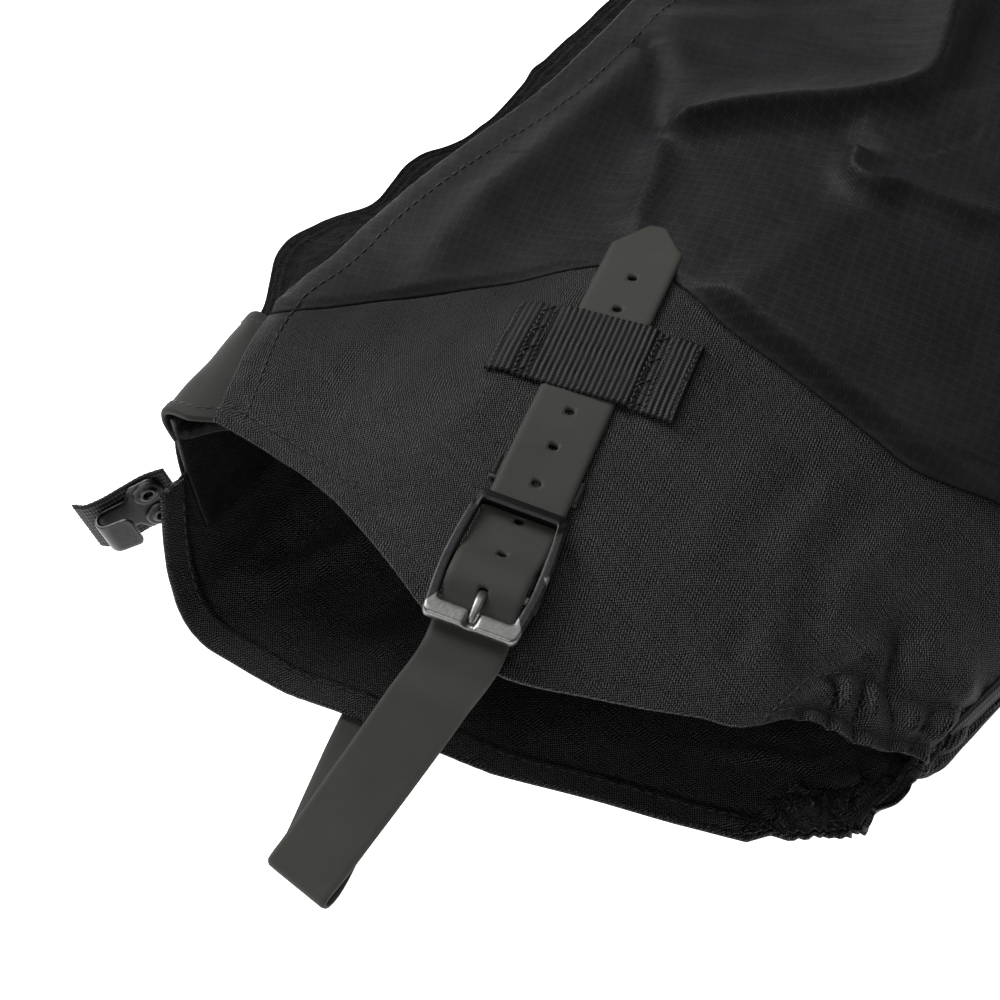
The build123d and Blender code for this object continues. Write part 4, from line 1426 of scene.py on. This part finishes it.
def punched_strip(length, width, holes, tip):
    """Flat grid of a strap with round holes and a blunt pointed tip: its points and quads."""
    columns, rows = int(round(width)), int(round(length))
    xs = np.arange(columns + 1) - width / 2
    index, verts, quads = {}, [], []

    def vertex(run, side):
        key = (round(run, 4), round(side, 4))
        if key not in index:
            index[key] = len(verts)
            verts.append((run, side))
        return index[key]

    blocked = set()
    for hole in holes:
        row = int(round(hole))
        blocked |= {(row + r, columns // 2 + c) for r in range(-2, 2) for c in range(-2, 2)}
        square = [(-2, k) for k in range(-2, 2)] + [(k, 2) for k in range(-2, 2)]
        square += [(2, -k) for k in range(-2, 2)] + [(-k, -2) for k in range(-2, 2)]
        outer_loop = [vertex(row + a, b) for a, b in square]
        inner_loop = []
        for a, b in square:
            angle = math.atan2(b, a)
            verts.append((row + HOLE_RADIUS * math.cos(angle), HOLE_RADIUS * math.sin(angle)))
            inner_loop.append(len(verts) - 1)
        for k in range(16):
            n = (k + 1) % 16
            quads.append((outer_loop[k], outer_loop[n], inner_loop[n], inner_loop[k]))
    for r in range(rows):
        for c in range(columns):
            if (r, c) not in blocked:
                corners = [(r, c), (r, c + 1), (r + 1, c + 1), (r + 1, c)]
                quads.append(tuple(vertex(a, xs[b]) for a, b in corners))
    flat = np.array(verts, float)
    taper = flat[:, 0] < tip
    flat[taper, 1] *= tip_share(flat[taper, 0], tip)
    return flat, quads


def strap_piece():
    """The coated instep strap: one thick ribbon with punched holes and softly rounded edges."""
    holes = [int(round(TAIL_END + 4 - HOLE_PITCH * k)) for k in range(9, 0, -1)]
    prong_hole = TAIL_END + 5
    flat, quads = punched_strip(STRAP_LENGTH, STRAP_WIDTH, holes + [prong_hole], STRAP_TIP)
    count = len(flat)
    run, side = flat.T
    from_side = STRAP_WIDTH / 2 * tip_share(run, STRAP_TIP) - np.abs(side)
    out = STRAP_THICK / 2 - np.maximum(roll(from_side, 0.55), roll(run, 0.5)) * 0.8
    verts = np.concatenate([strap_place(run, side, out), strap_place(run, side, -out)])
    faces = [tuple(q) for q in quads] + [tuple(i + count for i in reversed(q)) for q in quads]
    edges = {edge: None for q in quads for edge in zip(q, q[1:] + q[:1])}  # a dict keeps their order
    faces += [(b, a, a + count, b + count) for a, b in edges if (b, a) not in edges]
    uv = np.stack([side, run], axis=-1)
    return new_piece("instep_strap_ribbon", verts, faces, [STRAP], None, np.concatenate([uv, uv]))


dress(strap_piece(), "coated_strap", "instep_strap")


# ================================================================ buckle
def buckle_frame_piece():
    """Cast frame: flat rubbed lower bar, thin bowed rails and a sloped upper bar."""
    ends = np.array([0, 0.15, 0.45, 0.9, 1.5])
    steps = np.concatenate([ends, np.linspace(2.5, 40.5, 40), 43 - ends[::-1]]) / 43.0  # dense at the corners

    def outline_at(low, high, low_half, belly, high_half, corner):
        y = low + steps * (high - low)
        share = np.where(y < 3, (y - low) / (3 - low), (high - y) / (high - 3))
        base = np.where(y < 3, low_half, high_half)
        half = base + (belly - base) * np.sin(np.clip(share, 0, 1) * math.pi / 2)
        half = half - roll(np.minimum(y - low, high - y), corner)
        cross = np.linspace(1, -1, 30)[1:-1]
        right = np.stack([half, y], -1)
        upper = np.stack([cross * half[-1], np.full(28, high)], -1)
        left = np.stack([-half[::-1], y[::-1]], -1)
        lower = np.stack([-cross * half[0], np.full(28, low)], -1)
        return np.concatenate([right, upper, left, lower])

    outer = outline_at(-15.0, 27.5, 12.0, 13.4, 11.6, 1.8)
    inner = outline_at(-9.8, 22.9, 9.8, 10.7, 9.8, 1.0)
    y = outer[:, 1]
    slope = ease((y - 21) / 4)
    outer_top, inner_top = 1.2 - 1.5 * slope, 1.2 + 0.35 * slope
    below = 0 * y
    middle = (outer + inner) / 2
    seat = 1.1 * bell((middle[:, 0] / 1.35) ** 2) * (y < -12)
    profile = [
        (0.0, below - 0.9), (0.0, outer_top - 0.55), (0.05, outer_top - 0.2), (0.13, outer_top),
        (0.3, outer_top * 0.7 + inner_top * 0.3), (0.6, outer_top * 0.3 + inner_top * 0.7),
        (0.83, inner_top), (0.95, inner_top - 0.18), (1.0, inner_top - 0.5), (1.0, below - 0.9),
        (0.9, below - 1.2), (0.1, below - 1.2),
    ]  # share from the outer to the inner outline, and height, once round the section
    profile = [(s, h - (seat if 0.04 < s < 0.97 and np.max(h) > 0 else 0)) for s, h in profile]
    ring_part = closed_ring([np.column_stack([outer * (1 - s) + inner * s, h]) for s, h in profile])
    lugs = [rounded_block((side * 12.3, 0, -2.35), (2.0, 4.4, 2.5), 0.4) for side in (-1, 1)]
    verts, faces = joined([ring_part, *lugs])
    marks = [int(k < len(ring_part[1]) and outer[f[0] % len(outer), 1] < -12.5) for k, f in enumerate(faces)]
    return new_piece("buckle_frame_cast", at_buckle(verts), faces, [FRAME_METAL, WORN_METAL], marks)


def rounded_block(centre, size, radius):
    """A block with rounded edges, as points and faces."""
    grid = np.array((-1.0, -0.86, 0.86, 1.0))
    half = np.array(size) / 2
    index, verts, faces = {}, [], []

    def vertex(p):
        key = tuple(np.round(p, 5))
        if key not in index:
            corner = np.clip(p * half, -(half - radius), half - radius)
            offset = p * half - corner
            length = np.linalg.norm(offset)
            if length > 1e-9:
                offset = offset / length * radius
            index[key] = len(verts)
            verts.append(np.array(centre) + corner + offset)
        return index[key]

    for axis in range(3):
        for sign in (-1, 1):
            for i in range(3):
                for j in range(3):
                    quad = []
                    for a, b in ((i, j), (i + 1, j), (i + 1, j + 1), (i, j + 1)):
                        p = np.zeros(3)
                        p[axis] = sign
                        p[(axis + 1) % 3] = grid[a]
                        p[(axis + 2) % 3] = grid[b]
                        quad.append(vertex(p))
                    faces.append(quad if sign > 0 else quad[::-1])
    return np.array(verts), faces


def prong_piece():
    """Tapered round-backed prong that wraps the bar and rests in the lower bar's seat."""
    spine = [(1.2, -3.6), (-0.6, -3.95), (-1.9, -2.9), (-2.1, -1.2), (-3.6, 0.5), (-6.2, 1.85)]
    spine += [(-8.8, 2.1), (-11.0, 1.7), (-12.9, 1.1), (-13.7, 0.85)]
    path, out, _ = path_frame(spine, 5)
    out = out * np.sign(out[:, 1:2] + 1e-9)
    share = np.linspace(0, 1, len(path))
    narrowing, point = ease((share - 0.6) / 0.4), ease((share - 0.93) / 0.07)
    half_wide = 1.2 - 0.35 * narrowing - 0.5 * point
    half_deep = 0.7 - 0.2 * narrowing - 0.2 * point
    turns = np.arange(14) * 2 * np.pi / 14
    wide = half_wide[:, None] * (np.sign(np.cos(turns)) * np.abs(np.cos(turns)) ** 0.7)
    deep = half_deep[:, None] * (np.sign(np.sin(turns)) * np.abs(np.sin(turns)) ** 0.8)
    spots = path[:, None] + out[:, None] * deep[..., None]
    verts, faces = capped_tube(np.concatenate([wide[..., None], spots], axis=-1))
    return new_piece("buckle_prong_cast", at_buckle(verts), faces, [WORN_METAL])


dress(buckle_frame_piece(), "gunmetal", "buckle_frame", body="buckle")
dress(prong_piece(), "gunmetal", "buckle_prong", body="prong")
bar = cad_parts["buckle_bar"]
bar.data.materials.clear()
bar.data.materials.append(FRAME_METAL)


def anchor_loop_piece():
    """Coated strip that wraps the bar in two legs beside the prong and is sewn down above it."""
    profile = [(35.5, -2.75), (20, -2.75), (4, -2.6), (1.5, -0.35), (0, 0.05), (-1.6, -0.6), (-2.0, -2.0)]
    profile += [(-1.2, -3.3), (1.5, -3.9), (10, -4.1), (24, -4.1), (35.5, -4.1)]
    path, out, _ = path_frame(profile, 4)
    parts = []
    for low, high in ((-9.7, -2.2), (2.2, 9.7)):
        columns = np.linspace(low, high, 9)
        thick = 0.4 - roll(np.minimum(columns - low, high - columns), 0.25) * 0.8
        across_way = np.broadcast_to(columns, (len(path), 9))[..., None]
        step = out[:, None] * thick[None, :, None]
        parts.append([np.concatenate([across_way, path[:, None] - side * step], -1) for side in (1, -1)])
    c, r = np.meshgrid(np.linspace(-11.6, 11.6, 30), np.linspace(33.5, 41.5, 12))
    crown = -3.1 - roll(np.minimum(11.6 - np.abs(c), 41.5 - r), 0.4)
    parts.append([np.stack([c, r, crown], -1), np.stack([c, r, 0 * c - 4.3], -1)])
    verts, faces = joined([
        (np.concatenate([layer.reshape(-1, 3) for layer in part]), sheet_faces(*part[0].shape[:2])[0])
        for part in parts
    ])
    return new_piece("buckle_anchor_loop", at_buckle(verts), faces, [STRAP], None, verts[:, :2])


dress(anchor_loop_piece(), "coated_strap", "buckle_anchor_tab")


def bartacks():
    """Dense zigzag tacks at the two ends of the anchor strip."""
    parts = []
    for side in (-1, 1):
        for k in range(12):
            y = 34.6 + k * 0.55
            a = at_buckle(np.array((side * 10.2, y, -2.95)))
            b = at_buckle(np.array((side * 11.7, y + 0.3, -3.0)))
            stops = ((0, -0.2), (0.3, 0.12), (0.5, 0.18), (0.7, 0.12), (1, -0.3))  # share of the way, rise
            path = [a * (1 - share) + b * share + BUCKLE_N * rise for share, rise in stops]
            parts.append(tube(path, [0.2, 0.24, 0.24, 0.24, 0.2]))
    return parts


thread_piece("anchor_bartacks", bartacks(), "coated_strap")


# ================================================================ keeper
KEEPER_MIDDLE = BAR + UP_STRAP * 82.0 + np.array((0, 0, -3.9))
KEEPER_HALF, KEEPER_WIDE, RIB = 25.5, 28.0, 1.58


def at_keeper(side, up, out):
    """Points on the keeper: side across the strap, up along it, out from the cloth."""
    side, up, out = (part[..., None] for part in np.broadcast_arrays(side, up, out))
    return KEEPER_MIDDLE + side * across(0) + up * UP_STRAP + out * UPWARD


def cloth_height(x, y):
    """Height of the lateral cloth's outer face at points in plan."""
    u = np.full(np.shape(x), 8.0)
    for _ in range(12):
        points = cloth(u, y, 0 * u, lateral_hem)
        u = np.clip(u + (x - points[..., 0]) / SEARCH_ARC, 5.5, 10.9)
    return points[..., 2]


KEEPER_SIDES, KEEPER_UPS = np.linspace(-28, 28, 15), np.linspace(-15, 15, 7)


def keeper_ground():
    """Height of the cloth under the keeper, relative to its middle."""
    side, up = np.meshgrid(KEEPER_SIDES, KEEPER_UPS)
    spots = at_keeper(side, up, 0.0)
    return cloth_height(spots[..., 0], spots[..., 1]) - KEEPER_MIDDLE[2]


KEEPER_GROUND = keeper_ground()


def keeper_height(side, up):
    """Height of the keeper's face over its middle: on the cloth at its ends, over the strap between."""
    side, up = np.broadcast_arrays(side, up)
    by_side = smooth_values(side.ravel(), KEEPER_SIDES, np.eye(15))
    by_up = smooth_values(up.ravel(), KEEPER_UPS, np.eye(7))
    ground = np.einsum("ns,nu,us->n", by_side, by_up, KEEPER_GROUND).reshape(side.shape) + 1.5
    over = 1 - ease((np.abs(side) - 10.8) / 4.5)
    return np.maximum(ground, ground * (1 - over) + 2.0 * over)


TACK_ZONES = ((-14.6, -18.0), (13.4, 17.2))


def keeper_piece():
    """Ribbed webbing loop: each rib is a rounded cord, notched by its yarns."""
    s, v = np.meshgrid(
        np.linspace(-KEEPER_HALF, KEEPER_HALF, 300), np.linspace(-KEEPER_WIDE / 2, KEEPER_WIDE / 2, 64),
    )
    from_side, from_end = KEEPER_WIDE / 2 - np.abs(v), KEEPER_HALF - np.abs(s)
    wobble = 0.12 * noise(s * 0.4, v, 3, 61)
    rib = 0.50 * (np.abs(np.cos(np.pi * (s + wobble) / RIB)) ** 0.8) - 0.25
    rib = rib * ease(from_end / 1.2)
    yarn = 0.06 * np.sin(2 * np.pi * v / 0.9 + np.floor(s / RIB) * np.pi)
    pressed = sum(0.30 * ease((s - min(z) + 0.6) / 0.6) * ease((max(z) + 0.6 - s) / 0.6) for z in TACK_ZONES)
    rounding = np.maximum(roll(from_side, 0.5), roll(from_end, 0.5))
    top = keeper_height(s, v) + rib + yarn - pressed - rounding * 0.9
    fray = 0.15 * noise(s, 0 * s, 1.2, 62) * (1 - ease(from_side / 0.6)) * np.sign(v)
    curl = 0.5 * ease((s - 22) / 4) * (v < 0)
    outer = at_keeper(s, v + fray, top + curl)
    inner = at_keeper(s, v, keeper_height(s, v) - 1.0 + rounding * 0.4 + curl)
    return sheet_piece("strap_keeper_webbing", outer, inner, [WEBBING], np.stack([s, v], axis=-1))


dress(keeper_piece(), "grosgrain", "strap_keeper")


def keeper_stitches():
    """Box rows that sew the keeper down each side of the strap and at its ends."""
    parts = []
    for side in (-14.7, -17.9, 13.5, 17.1, -24.2, 24.3):
        v = np.linspace(-12.9, 12.9, 54)
        s = side + 0.25 * np.sin(v * 3)
        path = at_keeper(s, v, keeper_height(s, v) + (0.0 if abs(side) < 20 else 0.12))
        parts += stitch_row(path, np.tile(UPWARD, (54, 1)), 2.1, 0.8, 0.27)
    for low, high in ((-17.9, -14.7), (13.5, 17.1)):
        for v0 in (-12, -8, -4, 0, 4, 8, 12):
            s = np.linspace(low, high, 12)
            v = v0 + np.linspace(-1.8, 1.8, 12) * (1 if v0 % 8 else -1)
            path = at_keeper(s, v, keeper_height(s, v))
            parts += stitch_row(path, np.tile(UPWARD, (12, 1)), 1.8, 0.8, 0.26)
    return parts


thread_piece("keeper_stitches", keeper_stitches(), "grosgrain")


def patch_piece():
    """Cloth patch inside, over the strap's sewn end."""
    s, v = np.meshgrid(np.linspace(-11, 11, 24), np.linspace(-10, 10, 22))
    from_edge = np.minimum(11 - np.abs(s), 10 - np.abs(v))
    place = np.array((-5.0, -141.0, 0)) + s[..., None] * across(0) + v[..., None] * UP_STRAP
    outer, inner = place.copy(), place.copy()
    outer[..., 2], inner[..., 2] = 3.4 - roll(from_edge, 0.5) + 0.15 * noise(s, v, 5, 63), 2.5
    return sheet_piece("strap_end_patch", outer, inner, [LOWER])


dress(patch_piece(), "lower_fabric", "strap_anchor_patch")


# ================================================================ lace hook
HOOK_HEADING = math.radians(27)
HOOK_WAY = np.array((-math.sin(HOOK_HEADING), -math.cos(HOOK_HEADING), 0.0))
HOOK_OUT = np.cross(UPWARD, HOOK_WAY)
HOOK_ROOT = np.array((-81.5, -160.5, 33.0))
DROOP = math.radians(18)
HOOK_DROOP = HOOK_WAY * math.cos(DROOP) - UPWARD * math.sin(DROOP)
HOOK_UP = HOOK_WAY * math.sin(DROOP) + UPWARD * math.cos(DROOP)
HOOK_PLACE = HOOK_ROOT - 3.2 * HOOK_WAY - 5.6 * UPWARD


def at_hook(along, out, up):
    """Points in the lace hook's frame: along the webbing, out towards its inner face, up."""
    along, out, up = (part[..., None] for part in np.broadcast_arrays(along, out, up))
    return HOOK_PLACE + along * HOOK_DROOP + out * HOOK_OUT + up * HOOK_UP


def off_path(path, out, offset, up):
    """A grid of points off a path in the hook's plan."""
    spots = path[:, None] + out[:, None] * offset[..., None]
    return at_hook(spots[..., 0], spots[..., 1], up)


def hook_webbing_piece():
    """Short webbing end that curls away past the hook."""
    spine = [(-2.0, 0.4), (0, -0.1), (3, -0.7), (10, -0.7), (17, -0.8), (21.5, -1.9), (24.2, -4.4)]
    path, out, lengths = path_frame(spine, 9)
    run, v = np.meshgrid(lengths, np.linspace(-10, 10, 46), indexing="ij")
    rib = 0.2 * np.cos(2 * np.pi * run / 1.5) * np.cos(2 * np.pi * v / 1.5)
    rounding = np.maximum(roll(10 - np.abs(v), 0.5), roll(lengths[-1] - run, 0.5))
    droop = -2.2 * (run / lengths[-1]) ** 2
    offset = 0.62 - rounding * 0.8 + rib * 0.6
    layers = [off_path(path, out, sign * offset, v + droop) for sign in (1, -1)]
    return sheet_piece("lace_hook_webbing_end", *layers, [WEBBING], np.stack([v, run], axis=-1))


dress(hook_webbing_piece(), "grosgrain", "lace_hook_webbing", body="lace_hook")


def hook_plate_piece():
    """Stamped sheet hook: a round-eared base under two rivets, bent round into a short tongue."""
    path = [(0.9, 0.5), (5, 0.5), (9, 0.5), (13, 0.5), (17.2, 0.5)]
    for turn in range(-70, 90, 20):
        angle = math.radians(turn)
        path.append((17.5 + 2.75 * math.cos(angle), 3.25 + 2.75 * math.sin(angle)))
    path += [(17.0, 6.05), (14.4, 6.4), (11.4, 6.9)]
    path, out, lengths = path_frame(path, 3)
    half = 9.2 - 3.6 * ease((lengths - 7.6) / 3.0) + 0.4 * ease((lengths - 20) / 6)
    half = half - roll(lengths[-1] - lengths, 2.0) - 0.8 * roll(lengths, 3.0)
    share = np.array((-1, -0.97, -0.9, -0.7, -0.4, 0, 0.4, 0.7, 0.9, 0.97, 1.0))
    thick = 0.5 - 0.28 * np.clip((np.abs(share) - 0.9) / 0.1, 0, 1) ** 2
    dish = 0.25 * (1 - share**2) * ease((lengths - 21) / 3)[:, None]
    up = half[:, None] * share[None, :]
    layers = [off_path(path, out, sign * thick[None, :] - dish, up) for sign in (1, -1)]
    return sheet_piece("lace_hook_bent_plate", *layers, [HOOK_METAL])


dress(hook_plate_piece(), "gunmetal", "lace_hook_plate", body="lace_hook")


def turned(profile, centre, axis, sides=40):
    """A closed ring turned from (radius, height) pairs round an axis."""
    helper = unit(np.cross(axis, UPWARD))
    other = np.cross(axis, helper)
    loops = []
    for k in range(sides):
        angle = 2 * math.pi * k / sides
        radial = helper * math.cos(angle) + other * math.sin(angle)
        loops.append(np.array([centre + radial * r + axis * h for r, h in profile]))
    return closed_ring(loops)


def rivets_piece():
    """Two eyelet rivets: dished caps with a rolled hole, and washers behind."""
    cap = [(1.3, -0.1), (1.25, 0.75), (1.45, 1.1), (1.9, 1.2), (2.3, 1.0), (2.6, 0.72), (3.1, 0.66)]
    cap += [(3.6, 0.72), (4.0, 0.55), (4.2, 0.2), (4.2, 0.02), (3.0, 0.0)]
    washer = [(1.3, 0.0), (1.4, -0.6), (2.0, -0.8), (2.9, -0.55), (3.2, -0.15), (3.2, 0.0)]
    rings = ((cap[::-1], 1.0), (washer, -1.35))
    parts = [turned(part, at_hook(4.8, out, up), HOOK_OUT) for up in (-4.9, 4.9) for part, out in rings]
    return new_piece("lace_hook_rivet_set", *joined(parts), [HOOK_METAL])


dress(rivets_piece(), "gunmetal", "lace_hook_rivets", body="lace_hook")
